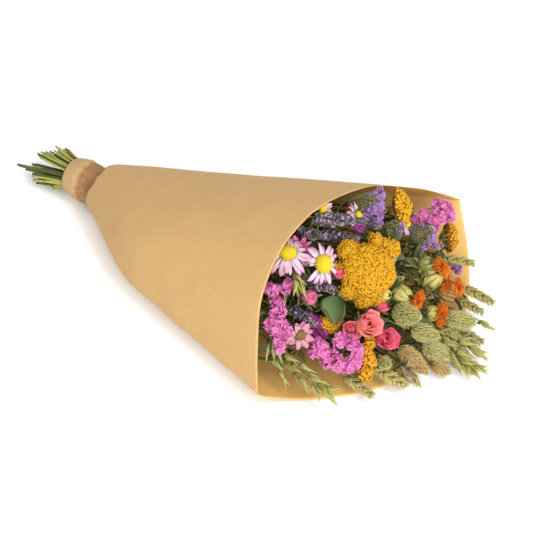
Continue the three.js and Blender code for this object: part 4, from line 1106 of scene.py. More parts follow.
daisy_pink = dried(
    "daisy petal",
    {0.05: (252, 240, 234), 0.4: (252, 216, 230), 0.75: (248, 186, 214), 1.0: (238, 142, 188)},
    faded=(252, 208, 226), fade=0.5, rough=0.6, bump=0.25, glow=0.2)
daisy_rose = dried(
    "magenta petal", {0.05: (184, 40, 112), 0.5: (222, 70, 150), 1.0: (244, 134, 188)},
    faded=(240, 130, 186), fade=0.5, rough=0.6, glow=0.15)
daisy_old = dried(
    "old daisy petal", {0.05: (150, 96, 70), 0.35: (232, 160, 176), 1.0: (232, 106, 168)},
    faded=(240, 190, 196), fade=0.6, rough=0.65, glow=0.1)
daisy_yellow = dried(
    "daisy disc", {0.0: (214, 150, 4), 0.5: (250, 212, 20), 1.0: (255, 236, 60)},
    faded=(252, 220, 30), fade=0.3, rough=0.6, glow=0.1)
daisy_withered = dried(
    "withered disc", {0.0: (96, 66, 34), 0.6: (150, 112, 62), 1.0: (190, 158, 96)},
    faded=(120, 84, 44), fade=0.6)
daisy_green = dried(
    "daisy green", {0.0: (78, 86, 40), 1.0: (150, 150, 92)}, faded=(170, 160, 110), fade=0.6)

OPEN_DAISIES = {  # middle, the way it faces, the rays' width and rise, the disc's width and height, seed
    "near": ((308, -76, 126), (0.13, -0.18, 0.97), 42, -0.05, 15.5, 4.8, 21),
    "mid": ((335, -59, 115), (0.71, -0.2, 0.62), 39, 0.1, 17, 7.5, 24),
}
for where, (at, faces, width, rise, disc, height, seed) in OPEN_DAISIES.items():
    keep = (lambda angle: abs(angle - math.pi) > 0.5) if where == "mid" else None
    rays = daisy_rays(width, 11, daisy_pink, rise=rise, droop=0.8, seed=seed, keep=keep)
    place = head_frame(at, faces, foot=7)
    settle(f"daisy_{where}_rays", rays, place, "daisy_petal", f"daisy_{where}_petals")
    button = daisy_disc(disc, height, daisy_yellow, seed=seed + 1)
    settle(f"daisy_{where}_button", button, head_frame(at, faces), "daisy_disc", f"daisy_{where}_disc")

SMALL_RAYS = {"rise": 0.6, "droop": 0.4, "count": 10, "petal": 5, "outline": (0.4, 0.85, 1, 0.9, 0.6, 0.1)}


def small_daisy(name, node, at, faces, width, cup, rays, slot, foot, seed, disc=daisy_yellow, **ways):
    """A half-open daisy in one piece. keep says which of its rays show, by their angle."""
    meshes = daisy_rays(width, cup, rays, seed=seed, **{**SMALL_RAYS, **ways})
    heart = daisy_disc(cup * 0.95, cup * 0.4, disc, seed=seed + 3)
    settle(name, meshes + heart, head_frame(at, faces, foot), slot, *node)


small_daisy(
    "daisy_rim_bloom", ["daisy_rim"], (303, -14, 137), (0.9, -0.1, 0.3), 22, 9, daisy_pink, "daisy_petal",
    foot=6, seed=31, keep=lambda angle: angle < 0.7 or angle > 4.9)
small_daisy(
    "daisy_side_bloom", ["daisy_side"], (350, 62, 92), (0.85, 0.1, 0.35), 24, 8, daisy_pink, "daisy_petal",
    foot=6, rise=0.7, seed=34, keep=lambda angle: 1 < angle < 4.3)
small_daisy(
    "daisy_low_bloom", ["daisy_low"], (338, -98, 58), (0.7, -0.45, 0.5), 26, 9.5, daisy_old, "daisy_petal",
    foot=7, rise=0.5, droop=0.5, disc=daisy_withered, seed=37, petal=7, lean=0.45)
small_daisy(
    "magenta_bloom_head", ["magenta_bloom"], (305, -56, 115), (0.7, -0.2, 0.6), 27, 9, daisy_rose,
    "bloom_magenta", foot=6, rise=0.7, droop=0.3, disc=daisy_rose, count=13, seed=40)
small_daisy(
    "daisy_pink_small", [], (328, 8, 126), (0.8, 0.1, 0.5), 24, 8, daisy_pink, "daisy_petal",
    foot=6, rise=0.3, droop=0.6, seed=43, keep=lambda angle: 1.2 < angle < 4.2)


# ------------------------------------------------------------------ roses
# Small spray roses dried in the bud or half open. Their petals shrink into thin leathery cups
# with crinkled, darker edges, coiled round a tight heart.

def rose_petals(width, finish, seed, open_angle=0.95):
    """A heart of narrow petals that stand up, wider petals that open round it, and its cup."""
    roll = random.Random(seed)
    size = width / 25
    heart = blade(
        13 * size, 11.5 * size, [0.5, 0.95, 1.1, 0.95, 0.5], bend=-0.8, cup=0.85, thick=0.4, ruffle=0.5,
        steps=8, half=3)
    outer = blade(
        14.5 * size, 14.5 * size, [0.45, 0.95, 1.15, 1.05, 0.55], bend=-0.75, cup=0.65, thick=0.4,
        ruffle=0.9, curl=1.3, steps=10, half=3)
    meshes = []
    for petal, count, before, rises, reaches, scales in (
        (heart, 11, 0, (1.5, 1.2), (0.6, 3.6), (0.66, 0.95)),
        (outer, 8, 11, (1.15, open_angle), (3.4, 4.8), (0.92, 1.04)),
    ):
        places = []
        for i in range(count):
            share = i / (count - 1)
            outward = outwards((before + i) * GOLDEN)
            facing = raised(outward, between(*rises, share))
            reach = between(*reaches, share) * size
            spot = outward * reach + UP * (-6 * size + roll.uniform(-0.4, 0.4))
            places.append((spot, facing, outward, between(*scales, share)))
        meshes.append(grow(petal, places, finish, size_spread=0.06, lean=0.1, seed=seed + before))
    profile = [(-10, 0), (-9.5, 1.6), (-7.5, 3.2), (-5.5, 3.8), (-4.5, 0)]
    cup = turned_shape(profile, 12, size, size, tint=0.4)
    sepal = blade(10 * size, 3 * size, SEPAL, bend=0.7, cup=0.4, steps=4, half=1)
    sepals = ray_places(5, 3.2 * size, 0.7, 1, drop=6.5 * size)
    return [*meshes, cup.mesh("cup", daisy_green), grow(sepal, sepals, daisy_green, 0.15, 0.2, seed + 30)]


def moved(meshes, place):
    """The meshes of a second bloom, set beside the first."""
    for mesh in meshes:
        mesh.transform(place)
    return meshes


rose_coral = dried(
    "rose coral",
    {0.0: (275, 220, 110), 0.4: (280, 186, 132), 0.7: (278, 144, 140), 1.0: (265, 92, 138)},
    faded=(285, 184, 148), fade=0.5, rough=0.6, flecks=1.0, bump=0.3, glow=0.35)
rose_pink = dried(
    "rose deep pink", {0.0: (250, 170, 140), 0.45: (250, 112, 132), 1.0: (232, 60, 112)},
    faded=(252, 140, 140), fade=0.5, rough=0.6, bump=0.3, glow=0.35)
bud_pink = dried(
    "rosebud pink", {0.0: (250, 190, 190), 0.5: (246, 128, 172), 1.0: (228, 64, 136)},
    faded=(252, 164, 190), fade=0.5, rough=0.6, glow=0.25)

upper_rose = head_frame((380, -54, 61), (0.72, -0.1, 0.69), foot=9)
lower_rose = head_frame((369, -60, 54), (0.45, -0.72, 0.55), foot=9)
two_roses = moved(rose_petals(32, rose_coral, seed=51), upper_rose)
two_roses += moved(rose_petals(27, rose_coral, seed=53, open_angle=1.1), lower_rose)
settle("rose_coral_blooms", two_roses, Matrix.Identity(4), "rose_coral", "rose_coral")
deep_rose = head_frame((392, -41, 42), (0.85, -0.25, 0.5), foot=10)
settle("rose_deep_bloom", rose_petals(29, rose_pink, seed=55), deep_rose, "rose_deep_pink", "rose_deep")


BUD_PETALS, PETAL_LEAN = 8, 0.72


def rosebud(where, at, faces, width, length, finish, slot, foot, seed):
    """A closed bud: petals wound round it that meet at the top, with long green sepals."""
    wound = blade(
        length * 1.08, width * 0.95, [0.55, 1, 1.05, 0.8, 0.35], bend=-2.1 * PETAL_LEAN, cup=0.8, thick=0.4,
        ruffle=0.25, steps=9, half=3)
    places = []
    for i in range(BUD_PETALS):
        outward = outwards(i * GOLDEN)
        facing = outward * math.sin(PETAL_LEAN) + UP * math.cos(PETAL_LEAN)
        scale = 0.74 + 0.038 * i
        places.append((outward * width * 0.2 * scale + UP * (-length * 0.5), facing, outward, scale))
    sepal = blade(length * 0.6, width * 0.24, SEPAL, bend=0.1, cup=0.3, steps=4, half=1)
    sepals = ray_places(5, width * 0.28, 0.9, 1, drop=length * 0.52)
    heart = [(-0.45, 0), (-0.3, 0.36), (0, 0.42), (0.22, 0.27), (0.33, 0)]
    base = [(-0.78, 0), (-0.74, 0.14), (-0.56, 0.3), (-0.4, 0.24), (-0.34, 0)]
    meshes = [
        grow(wound, places, finish, 0.04, 0.05, seed),
        grow(sepal, sepals, daisy_green, 0.15, 0.2, seed + 1),
        turned_shape(heart, 12, length, width, tint=0.4).mesh("heart", finish),
        turned_shape(base, 10, length, width, tint=0.4).mesh("base", daisy_green),
    ]
    settle(f"rosebud_{where}_bud", meshes, head_frame(at, faces, foot), slot, f"rosebud_{where}")


rosebud("near", (333, -76, 86), (0.6, -0.45, 0.65), 17, 18, bud_pink, "rosebud_pink", foot=8, seed=61)
rosebud("mid", (346, -48, 102), (0.7, -0.4, 0.5), 12.5, 13, rose_pink, "rose_deep_pink", foot=6, seed=63)
rosebud("low", (385, -32, 70), (0.85, -0.1, 0.45), 11.5, 15, rose_pink, "rosebud_pink", foot=6, seed=65)


# ------------------------------------------------------------------ safflower
# Round heads in broad, pale yellow-green bracts with green patches, and out of each a brush of
# orange threads. They are picked as the first threads open.

# The bracts darken towards their foot: partly their own green, partly painted shade low on the bud.
safflower_bract = dried(
    "safflower bract",
    {0.0: (146, 146, 66), 0.3: (188, 178, 88), 0.75: (214, 200, 108), 1.0: (192, 176, 86)},
    faded=(222, 206, 118), fade=0.5, edge=(232, 216, 132), patch=(126, 142, 56), rough=0.6, flecks=1.0,
    bump=0.3, glow=0.1)
safflower_leaf = dried(
    "safflower leaf", {0.0: (150, 152, 80), 0.6: (118, 128, 60), 1.0: (160, 156, 90)},
    faded=(186, 178, 104), fade=0.6, rough=0.65)
safflower_orange = dried(
    "safflower orange", {0.0: (206, 74, 2), 0.4: (248, 110, 6), 1.0: (255, 146, 26)},
    faded=(236, 88, 2), fade=0.6, rough=0.7, glow=0.25)

BRACTS, LOOSE_BRACTS = 13, 7
BRACT_LEAN = 0.8  # how far from the head's axis its bracts lean


def safflower_head(name, node, at, faces, width, foot, seed, finish=safflower_bract):
    """Broad bracts wrapped round a core, and looser ones with leafy tips spread under them."""
    bract = blade(
        width * 1.0, width * 0.66, [0.6, 1, 1, 0.7, 0], bend=-1.75, cup=0.5, thick=0.5, ruffle=0.3, steps=9)
    tip = blade(
        width * 0.7, width * 0.34, [0.7, 1, 0.6, 0], bend=0.3, cup=0.5, thick=0.45, ruffle=0.5, steps=5)
    wrapped, spread = [], []
    for i in range(BRACTS):
        share = i / (BRACTS - 1)
        outward = outwards(i * GOLDEN)
        facing = outward * math.sin(BRACT_LEAN) + UP * math.cos(BRACT_LEAN)
        spot = outward * width * 0.22 + UP * width * between(-0.42, -0.5, share)
        wrapped.append((spot, facing, outward, between(0.92, 1.18, share)))
    for i in range(LOOSE_BRACTS):
        outward = outwards(i * GOLDEN + 1)
        facing = raised(outward, between(0.3, 0.8, i / (LOOSE_BRACTS - 1)))
        spread.append((outward * width * 0.25 + UP * width * -0.42, facing, -UP, 1))
    core = [(-0.5, 0), (-0.45, 0.14), (-0.25, 0.27), (0.05, 0.3), (0.25, 0.2), (0.32, 0)]
    meshes = [
        grow(bract, wrapped, finish, 0.06, 0.08, seed),
        grow(tip, spread, safflower_leaf, 0.2, 0.25, seed + 1),
        turned_shape(core, 14, width, width, tint=0.3).mesh("core", safflower_leaf),
    ]
    settle(name, meshes, head_frame(at, faces, foot), "safflower_green", *node)


THREADS = 250


def safflower_brush(name, node, at, faces, width, height, root, seed):
    """Threads that rise together out of the bracts and curl outwards over them."""
    roll = random.Random(seed)
    thread = blade(
        height, 1.6, [0.5, 0.7, 1, 1, 0.3], bend=0.9, cup=0.2, thick=0.45, steps=5, half=1, twist=0.9)
    places = []
    for i in range(THREADS):
        share = math.sqrt((i + 0.5) / THREADS)
        outward = outwards(i * GOLDEN)
        facing = raised(outward, between(1.5, 0.55, share) + roll.uniform(-0.15, 0.15))
        size = between(0.9, 0.75, share) * roll.uniform(0.6, 1.05)
        spot = outward * width * 0.16 * share + UP * root
        places.append((spot, facing, outward, (1, 1.2, size * width / 20)))
    threads = grow(thread, places, safflower_orange, 0.12, 0.3, seed)
    settle(name, [threads], head_frame(at, faces), "safflower_orange", *node)


SAFFLOWERS = {  # where it is, the way it faces, the bud's width, and its brush's width, length and root
    "far": ((391, 46, 54), (0.4, 0.4, 0.82), 24, 18, 12, 14),
    "right": ((394, 60, 43), (0.85, 0.45, 0.25), 15, 23, 13, 1),
    "low": ((384, 4, 60), (0.95, 0.1, -0.12), 21, 20, 11, 15),
    "end": ((407, 24, 32), (0.9, 0.3, 0.15), 19, 21, 12, 7),
}
for number, (where, (at, faces, width, *brush)) in enumerate(SAFFLOWERS.items()):
    bud, tuft = [f"safflower_bud_{where}"], [f"safflower_tuft_{where}"]
    safflower_head(f"safflower_{where}_bracts", bud, at, faces, width, 8, 71 + number)
    safflower_brush(f"safflower_{where}_brush", tuft, at, faces, *brush, 81 + number)
safflower_head("safflower_small_bracts", [], (383, -25, 79), (0.9, -0.1, 0.3), 12, 6, 91)
safflower_head("safflower_brown_bracts", [], (385, 43, 72), (0.7, 0.1, 0.6), 15, 6, 92, safflower_leaf)
safflower_brush("safflower_middle_brush", [], (413, 58, 45), (0.85, 0.3, 0.25), 18, 11, 0, 93)


# ------------------------------------------------------------------ canary grass
# Egg-shaped heads of flat keeled scales that lie over each other like tiles, pale green with
# straw-coloured edges. Some of them have aged to a warm tan at the tip.

TIER_PITCH, SCALE_PITCH = 1.35, 1.5  # how far apart the tiers are, and the scales in one


def canary_grass(name, node, at, faces, width, length, finish, seed):
    """Tiers of scales from the foot to the tip of an egg-shaped core."""
    foot = length / 2
    scale = blade(6.2, 1.9, [0.5, 1, 0.8, 0.4, 0], bend=-0.2, cup=1.0, thick=0.4, steps=3, half=1)
    places = []
    tiers = round(length / TIER_PITCH)
    for k in range(tiers):
        share = (k + 0.5) / tiers
        radius = (width / 2 - 2.4) * math.sin(math.pi * (0.06 + 0.93 * share**0.85)) ** 0.7
        count = max(3, round(2 * math.pi * radius / SCALE_PITCH))
        for j in range(count):
            outward = outwards((j + 0.5 * (k % 2)) / count * 2 * math.pi + k * 0.3)
            facing = raised(outward, between(0.75, 1.3, share))
            spot = outward * radius + UP * (between(-length / 2, length / 2 - 5, share))
            places.append((spot, facing, outward, between(0.95, 0.85, share)))
    egg = [(-0.5, 0), (-0.42, 0.2), (-0.15, 0.34), (0.12, 0.3), (0.28, 0.16), (0.34, 0)]
    core = turned_shape(egg, 12, length, width, tint=0.1)
    stalk(core, [UP * -foot, UP * (-length * 0.4)], 1.0)
    meshes = [grow(scale, places, finish, 0.2, 0.18, seed), core.mesh("core", grass_dark)]
    settle(name, meshes, head_frame(at, faces, foot), "canary_grass_tan", *node)


grass_dark = dried(
    "grass dark", {0.0: (84, 88, 44), 1.0: (124, 122, 66)}, faded=(130, 126, 70), fade=0.5)
canary_green = dried(
    "canary grass green",
    {0.0: (104, 104, 40), 0.4: (190, 186, 98), 0.8: (242, 232, 156), 1.0: (262, 252, 200)},
    faded=(236, 220, 136), fade=0.5, rough=0.75, bump=0.35, glow=0.1)
canary_tan = dried(
    "canary grass tan",
    {0.0: (130, 112, 50), 0.4: (208, 182, 104), 0.8: (250, 214, 142), 1.0: (265, 224, 164)},
    faded=(248, 196, 132), fade=0.6, rough=0.75, bump=0.35, glow=0.1)
CANARY_HEADS = {  # where each is, the way it faces, its width and length, and its finish
    "top": ((399, -10, 52), (0.95, -0.1, 0.24), 22, 33, canary_green),
    "mid": ((417, -4, 33), (0.96, 0.08, 0.08), 18, 33, canary_green),
    "front": ((433, -6, 19), (0.97, 0.1, 0.0), 19, 36, canary_green),
    "low": ((421, -29, 19), (0.95, -0.22, -0.15), 17, 42, canary_tan),
    "right": ((431, 38, 26), (0.9, 0.35, 0.1), 20, 33, canary_green),
    "small": ((402, -52, 24), (0.85, -0.25, 0.3), 13, 19, canary_green),
    "tip": ((443, -15, 10), (0.97, -0.1, 0.05), 14, 24, canary_tan),
}
for number, (where, (at, faces, width, length, finish)) in enumerate(CANARY_HEADS.items()):
    node = [] if where == "tip" else [f"canary_{where}"]
    canary_grass(f"canary_{where}_head", node, at, faces, width, length, finish, 91 + number)


# ------------------------------------------------------------------ wheat
# Ears with two rows of plump spikelets that meet in turn along a zigzag stalk. Each spikelet is
# three husks with short points, straw-coloured at the edge and green in the fold.

def spikelet():
    """Three husks, the middle one nearly upright and one leaning out on either side."""
    shape = Shape()
    for swing, lean, size in ((0, 0.12, 1.0), (-0.95, 0.34, 0.9), (0.95, 0.34, 0.9)):
        turn = Matrix.Rotation(swing, 4, "Z") @ Matrix.Rotation(lean, 4, "Y")
        blade(11.5 * size, 5 * size, [0.4, 1, 0.9, 0.45, 0.1, 0], bend=-0.35, cup=1.15, thick=0.6,
              place=turn, shape=shape)
    return shape


SPIKELET_PITCH = 3


def wheat_places(length, width, shift=Vector((0, 0, 0))):
    """Spikelets in turn on either side of an ear, and smaller ones on its front and back."""
    places = []
    spikelets = round(length / SPIKELET_PITCH)
    for k in range(spikelets):
        share = (k + 0.5) / spikelets
        side = Vector((1, 0, 0)) * (1 if k % 2 else -1)
        swell = math.sin(math.pi * between(0.3, 0.9, share)) ** 0.7
        facing = (side * 0.5 + UP).normalized()
        spot = shift + side * width * 0.13 + UP * between(-length / 2, length / 2 - 6, share)
        places.append((spot, facing, side, swell * width / 13))
        front = Vector((0, 1 if (k // 2) % 2 else -1, 0))
        facing = (front * 0.35 + UP).normalized()
        places.append((spot + front * width * 0.12, facing, front, swell * width / 15))
    return places


def wheat_ear(name, node, at, faces, length, width, foot, finish, seed, beside=None):
    """An ear on its stalk, or a pair with the smaller one beside the first."""
    places = wheat_places(length, width)
    stems = Shape()
    stalk(stems, [UP * -foot, UP * (length * 0.4)], 1.0, 0.8, tint=0.6)
    if beside:
        shift = Vector((*beside, 0))
        places += wheat_places(length * 0.9, width * 0.9, shift)
        line = [UP * -foot, shift * 0.7 - UP * (length * 0.55), shift + UP * (length * 0.35)]
        stalk(stems, line, 1.0, 0.8, tint=0.6)
    meshes = [grow(spikelet(), places, finish, 0.1, 0.12, seed), stems.mesh("stalk", stem_straw)]
    settle(name, meshes, head_frame(at, faces, foot), "wheat_straw", *node)


stem_straw = dried(
    "straw stem", {0.0: (140, 138, 74), 1.0: (176, 166, 98)}, faded=(196, 182, 118), fade=0.6)
wheat_straw = dried(
    "wheat straw",
    {0.0: (136, 126, 48), 0.35: (206, 190, 92), 0.8: (242, 222, 130), 1.0: (255, 236, 158)},
    faded=(244, 220, 136), fade=0.5, edge=(242, 226, 164), rough=0.7, bump=0.35, glow=0.1)
wheat_green = dried(
    "wheat green",
    {0.0: (112, 112, 44), 0.35: (188, 178, 88), 0.8: (226, 210, 120), 1.0: (242, 226, 146)},
    faded=(232, 210, 124), fade=0.5, edge=(212, 202, 134), rough=0.7, bump=0.35, glow=0.1)
WHEAT_EARS = {  # the solid, the middle, the way it points, length, width, foot, finish, a second beside it
    "wheat_near_ear": (["wheat_near"], (396, -82, 12), (0.92, -0.25, 0.06), 44, 14, 22, wheat_straw, None),
    "wheat_low_ear": (["wheat_low"], (411, -55, 12), (0.97, -0.1, 0.0), 48, 15, 24, wheat_straw, None),
    "wheat_far_ear": (["wheat_far"], (396, 92, 47), (0.95, 0.28, 0.05), 38, 12, 19, wheat_green, None),
    "wheat_right_ears": (
        ["wheat_right"], (430, 74, 32), (0.97, -0.12, 0.02), 44, 12.5, 22, wheat_green, (-13, -5)),
    "wheat_front_ear": (["wheat_front"], (440, 36, 11), (0.97, 0.2, 0.02), 44, 13, 22, wheat_green, None),
    "wheat_low_tip": ([], (428, 22, 20), (0.95, 0.1, 0.05), 30, 11, 15, wheat_green, None),
}
for number, (name, (*ear, beside)) in enumerate(WHEAT_EARS.items()):
    wheat_ear(name, *ear, 101 + number, beside)


# ------------------------------------------------------------------ oats
# Loose plumes: from a thin stalk hang spikelets of two long papery husks with fine green
# stripes, which part in a narrow V with the grain between them.

def oat_spikelet():
    """Two husks that part in a V and the grain between them."""
    length = 21
    husk, grain = [0.35, 0.9, 1, 0.7, 0.3, 0], [0.5, 1, 0.8, 0.3, 0]
    shape = Shape()
    for lean, size in ((0.15, 1.0), (-0.18, 0.93)):
        turn = Matrix.Rotation(lean, 4, "Y")
        turn = turn if lean > 0 else turn @ Matrix.Rotation(math.pi, 4, "Z")
        blade(length * size, 5.6 * size, husk, bend=-0.12, cup=1.1, thick=0.4, ribs=0.1, steps=8, half=3,
              place=turn, shape=shape)
    blade(length * 0.75, 2.8, grain, cup=0.4, thick=1.2, steps=4, half=1, shape=shape)
    return shape


def oat_plume(name, node, at, faces, length, spread, count, finish, foot, seed):
    """A drooping stalk whose spikelets hang on branches that get shorter towards its tip."""
    roll = random.Random(seed)
    branches = Shape()
    tip = Vector((4, 0, length / 2 - 19))
    line = [UP * (-length / 2), Vector((1, 0, -length * 0.2)), Vector((2, 0, length * 0.05)), tip]
    stalk(branches, line, 0.8, 0.5, tint=0.6)
    places = []
    for k in range(count):
        share = k / (count - 1)
        start = between(line[0] + UP * 3, line[3], share)
        outward = outwards(k * GOLDEN + 0.4)
        reach = spread * 0.42 * between(1, 0.2, share) * roll.uniform(0.6, 1)
        end = start + outward * reach + UP * roll.uniform(5, 11)
        knee = between(start, end, 0.6) + outward * 1.2
        stalk(branches, [start, knee, end], 0.38, 0.3, sides=4, tint=0.7)
        facing = (outward * roll.uniform(0.1, 0.4) + UP).normalized()
        places.append((end, facing, outward, roll.uniform(0.85, 1.1)))
    meshes = [grow(oat_spikelet(), places, finish, 0.08, 0.12, seed), branches.mesh("branches", stem_straw)]
    settle(name, meshes, head_frame(at, faces, foot), "oat_straw", *node)


oat_green = dried(
    "oat green", {0.0: (120, 130, 46), 0.5: (168, 170, 76), 1.0: (224, 212, 130)},
    faded=(220, 206, 120), fade=0.6, edge=(226, 218, 138), rough=0.6, bump=0.3, glow=0.15)
oat_brown = dried(
    "oat brown", {0.0: (140, 120, 70), 0.5: (190, 160, 110), 1.0: (214, 190, 150)},
    faded=(150, 110, 80), fade=0.6, edge=(220, 200, 160), rough=0.6, bump=0.3, glow=0.1)
OAT_PLUMES = {  # the solid, the middle, the way it points, length, spread, spikelets, finish, foot
    "oats_near_plume": (["oats_near"], (347, -115, 29), (0.97, -0.18, -0.03), 84, 28, 17, oat_green, 38),
    "oats_right_plume": (["oats_right"], (445, -1, 17), (0.96, -0.26, -0.03), 68, 24, 17, oat_green, 31),
    "oats_front_plume": (["oats_front"], (441, 18, 15), (0.97, -0.08, -0.02), 54, 14, 8, oat_green, 26),
    "oats_brown_husks": ([], (414, -38, 13), (0.95, -0.2, 0.0), 34, 12, 4, oat_brown, 14),
    "oats_beside_daisy": ([], (322, -86, 110), (0.75, -0.6, -0.1), 26, 8, 3, oat_green, 12),
}
for number, (name, plume) in enumerate(OAT_PLUMES.items()):
    oat_plume(name, *plume, seed=111 + number)
LOOSE_HUSKS = [  # where single husks lie, the way they point, and their finish
    ((452, 54, 20), (0.95, 0.05, -0.12), oat_green),
    ((449, 38, 13), (0.8, -0.55, 0.0), oat_brown),
    ((431, -38, 7), (0.85, -0.5, 0.0), oat_green),
    ((424, -44, 9), (0.95, -0.3, 0.0), oat_brown),
]
for number, (at, faces, finish) in enumerate(LOOSE_HUSKS):
    husk = grow(oat_spikelet(), [(UP * -9, UP, Vector((1, 0, 0)), 0.95)], finish, seed=number)
    settle(f"oat_husk_{number}", [husk], head_frame(at, faces, 10, thick=0.7), "oat_straw")


# ------------------------------------------------------------------ leaves
# A broad grey-green rose leaf folded along its rib, narrow dark leaves between the flowers, a
# curled dry one with a pale rim, and a few paler ones. They were left on the stems.

leaf_grey = dried(
    "grey leaf", {0.0: (76, 98, 50), 0.5: (104, 128, 72), 1.0: (112, 134, 78)},
    faded=(88, 112, 60), fade=0.5, rough=0.65, bump=0.3, glow=0.1)
# Darker than the leaves' own green: partly painted shade for the deep gaps between the flowers near the
# mouth.
leaf_dark = dried(
    "dark leaf", {0.0: (42, 52, 22), 0.6: (70, 86, 38), 1.0: (112, 122, 62)},
    faded=(122, 128, 68), fade=0.6, rough=0.65, bump=0.3, glow=0.1)
leaf_pale = dried(
    "pale leaf", {0.0: (120, 132, 70), 0.6: (156, 164, 98), 1.0: (190, 190, 130)},
    faded=(196, 190, 130), fade=0.6, edge=(196, 198, 140), rough=0.65, bump=0.3, glow=0.1)


def shown(at, degrees, lean=0.0):
    """The place of a leaf that shows its face to the camera and grows at an angle in the picture."""
    turned = Matrix.Rotation(math.radians(degrees), 4, "Z") @ Matrix.Rotation(math.pi / 2 + lean, 4, "Y")
    return Matrix.Translation(at) @ view_axes @ turned


LEAF, BROAD_LEAF = [0.25, 0.8, 1, 0.85, 0.5, 0], [0.35, 1, 0.95, 0.72, 0.36, 0]
broad = Shape()
leaf_foot = Vector((352, -70, 68)) + view_axes @ Vector((7, 19, 0))
folded = Matrix.Rotation(0.6, 4, "Z")
blade(29, 30, BROAD_LEAF, bend=0.4, cup=0.5, thick=0.5, ruffle=1.0, steps=12, half=4, tint=0.2,
      place=shown(leaf_foot, 262, 0.1) @ folded, shape=broad)
blade(20, 11, LEAF, bend=0.6, cup=0.6, thick=0.5, ruffle=0.9, steps=10, half=3, tint=0.8,
      place=shown(leaf_foot, 20), shape=broad)
settle("leaf_grey_pair", [broad.mesh("leaf", leaf_grey)], to_metres, "leaf_grey_green", "leaf_grey")

narrow = blade(30, 10, [0.25, 0.8, 1, 0.75, 0.35, 0], bend=0.5, cup=0.5, thick=0.5, ruffle=0.5, steps=8)
TUFT_LEAVES = 9
tuft = []
for i in range(TUFT_LEAVES):
    outward = outwards(i * GOLDEN)
    share = i / (TUFT_LEAVES - 1)
    spot = outward * 1.5 + UP * between(-22, -2, share)
    tuft.append((spot, raised(outward, 0.95), outward, between(1.0, 0.7, share)))
settle("leaves_dark_tuft", [grow(narrow, tuft, leaf_dark, 0.15, 0.2, 5)],
       head_frame((366, 36, 66), (0.8, 0.15, 0.4), 18), "leaf_dark_green", "leaves_dark")

LOOSE_LEAVES = {  # where each grows from, its angle in the picture, its length and width
    leaf_dark: [
        ((356, 18, 92), 45, 26, 9), ((360, 26, 90), 110, 22, 8), ((368, 33, 76), -20, 26, 9),
        ((368, 33, 76), 160, 22, 8), ((374, 40, 70), 70, 22, 7), ((308, -111, 80), 200, 20, 4),
        ((317, -121, 55), 230, 22, 4), ((308, -114, 60), 190, 24, 4), ((312, -112, 70), 160, 20, 4),
        ((306, 12, 128), 20, 38, 3), ((392, 12, 46), -70, 24, 8), ((400, 6, 38), -30, 22, 7),
    ],
    leaf_pale: [
        ((304, -39, 118), 40, 15, 6), ((304, -39, 118), 0, 13, 5), ((376, 20, 66), 205, 22, 8),
        ((321, -118, 56), -85, 22, 3), ((324, -118, 54), -70, 24, 3), ((318, -119, 54), -100, 20, 2.5),
        ((426, 20, 14), -10, 34, 6), ((430, 14, 14), 12, 28, 5), ((418, 44, 22), -35, 26, 6),
    ],
}
for finish, leaves in LOOSE_LEAVES.items():
    loose = Shape()
    for number, (at, degrees, length, width) in enumerate(leaves):
        place = shown(at, degrees, 0.2 - number % 2 * 0.4)
        blade(length, width, LEAF, bend=0.5, cup=0.45, thick=0.5, ruffle=0.6, twist=0.5 - number % 3 * 0.5,
              steps=9, tint=number % 4 / 3, place=place, shape=loose)
    name = "loose_" + finish.name.replace(" ", "_")
    settle(name, [loose.mesh("leaves", finish)], to_metres, "leaf_dark_green")
curled = blade(36, 8, [0.5, 0.9, 1, 0.8, 0], bend=4.9, cup=0.3, thick=0.5, ruffle=0.4, steps=22, tint=0.9,
               place=shown((367, 7, 88), 30) @ Matrix.Rotation(0.5, 4, "Z"))
settle("curled_leaf", [curled.mesh("leaf", leaf_pale)], to_metres, "leaf_dark_green")


# ------------------------------------------------------------------ stems and greenery
# All stems are gathered at the tie, held there by the band and cut off at different lengths
# behind it. Between the heads there are thin stalks and small leaves, dark and close together.

BUNDLE_RADIUS, BUNDLE_HALF = 14, 22  # the bundle at the tie: its radius and half its straight length
TAIL = 82  # how far the longest cut stem reaches behind it
STEM_BEND = 42  # how far under its head a stem starts to bend
roll = random.Random(17)


def bowed(start, turn, end, steps, wobble=0.8):
    """Points along a stem that leaves its start towards a turn and ends at its end."""
    points = []
    drift = Vector([roll.uniform(-1, 1) for _ in range(3)]) * wobble
    for k in range(steps + 1):
        share = k / steps
        line = between(between(start, turn, share), between(turn, end, share), share)
        points.append(line + drift * math.sin(math.pi * share * 2))
    return points


def bundle_place(share, angle):
    """A stem's place across the bundle, from its middle."""
    reach = math.sqrt(share) * (BUNDLE_RADIUS - 2.2)
    return Vector((0, reach * math.cos(angle), reach * math.sin(angle)))


stems = {"green": Shape(), "dark": Shape(), "brown": Shape()}  # one shape for each colour of stem
for number, (foot, ahead, thick) in enumerate(stems_wanted):
    start = Vector((0, foot.y * 0.09, (foot.z - 70) * 0.15))
    if start.length > BUNDLE_RADIUS - 2:
        start = start.normalized() * (BUNDLE_RADIUS - 2)
    start += Vector((-BUNDLE_HALF, 0, BAND_MIDDLE.z))
    turn = foot - ahead * STEM_BEND
    turn.z = max(turn.z, 5)
    line = drawn_in(bowed(start, turn, foot + ahead * 4, steps=18))
    kind = ("green", "dark", "green", "brown")[number % 4]
    stalk(stems[kind], line, thick, thick * 0.8, sides=8, tint=roll.random())

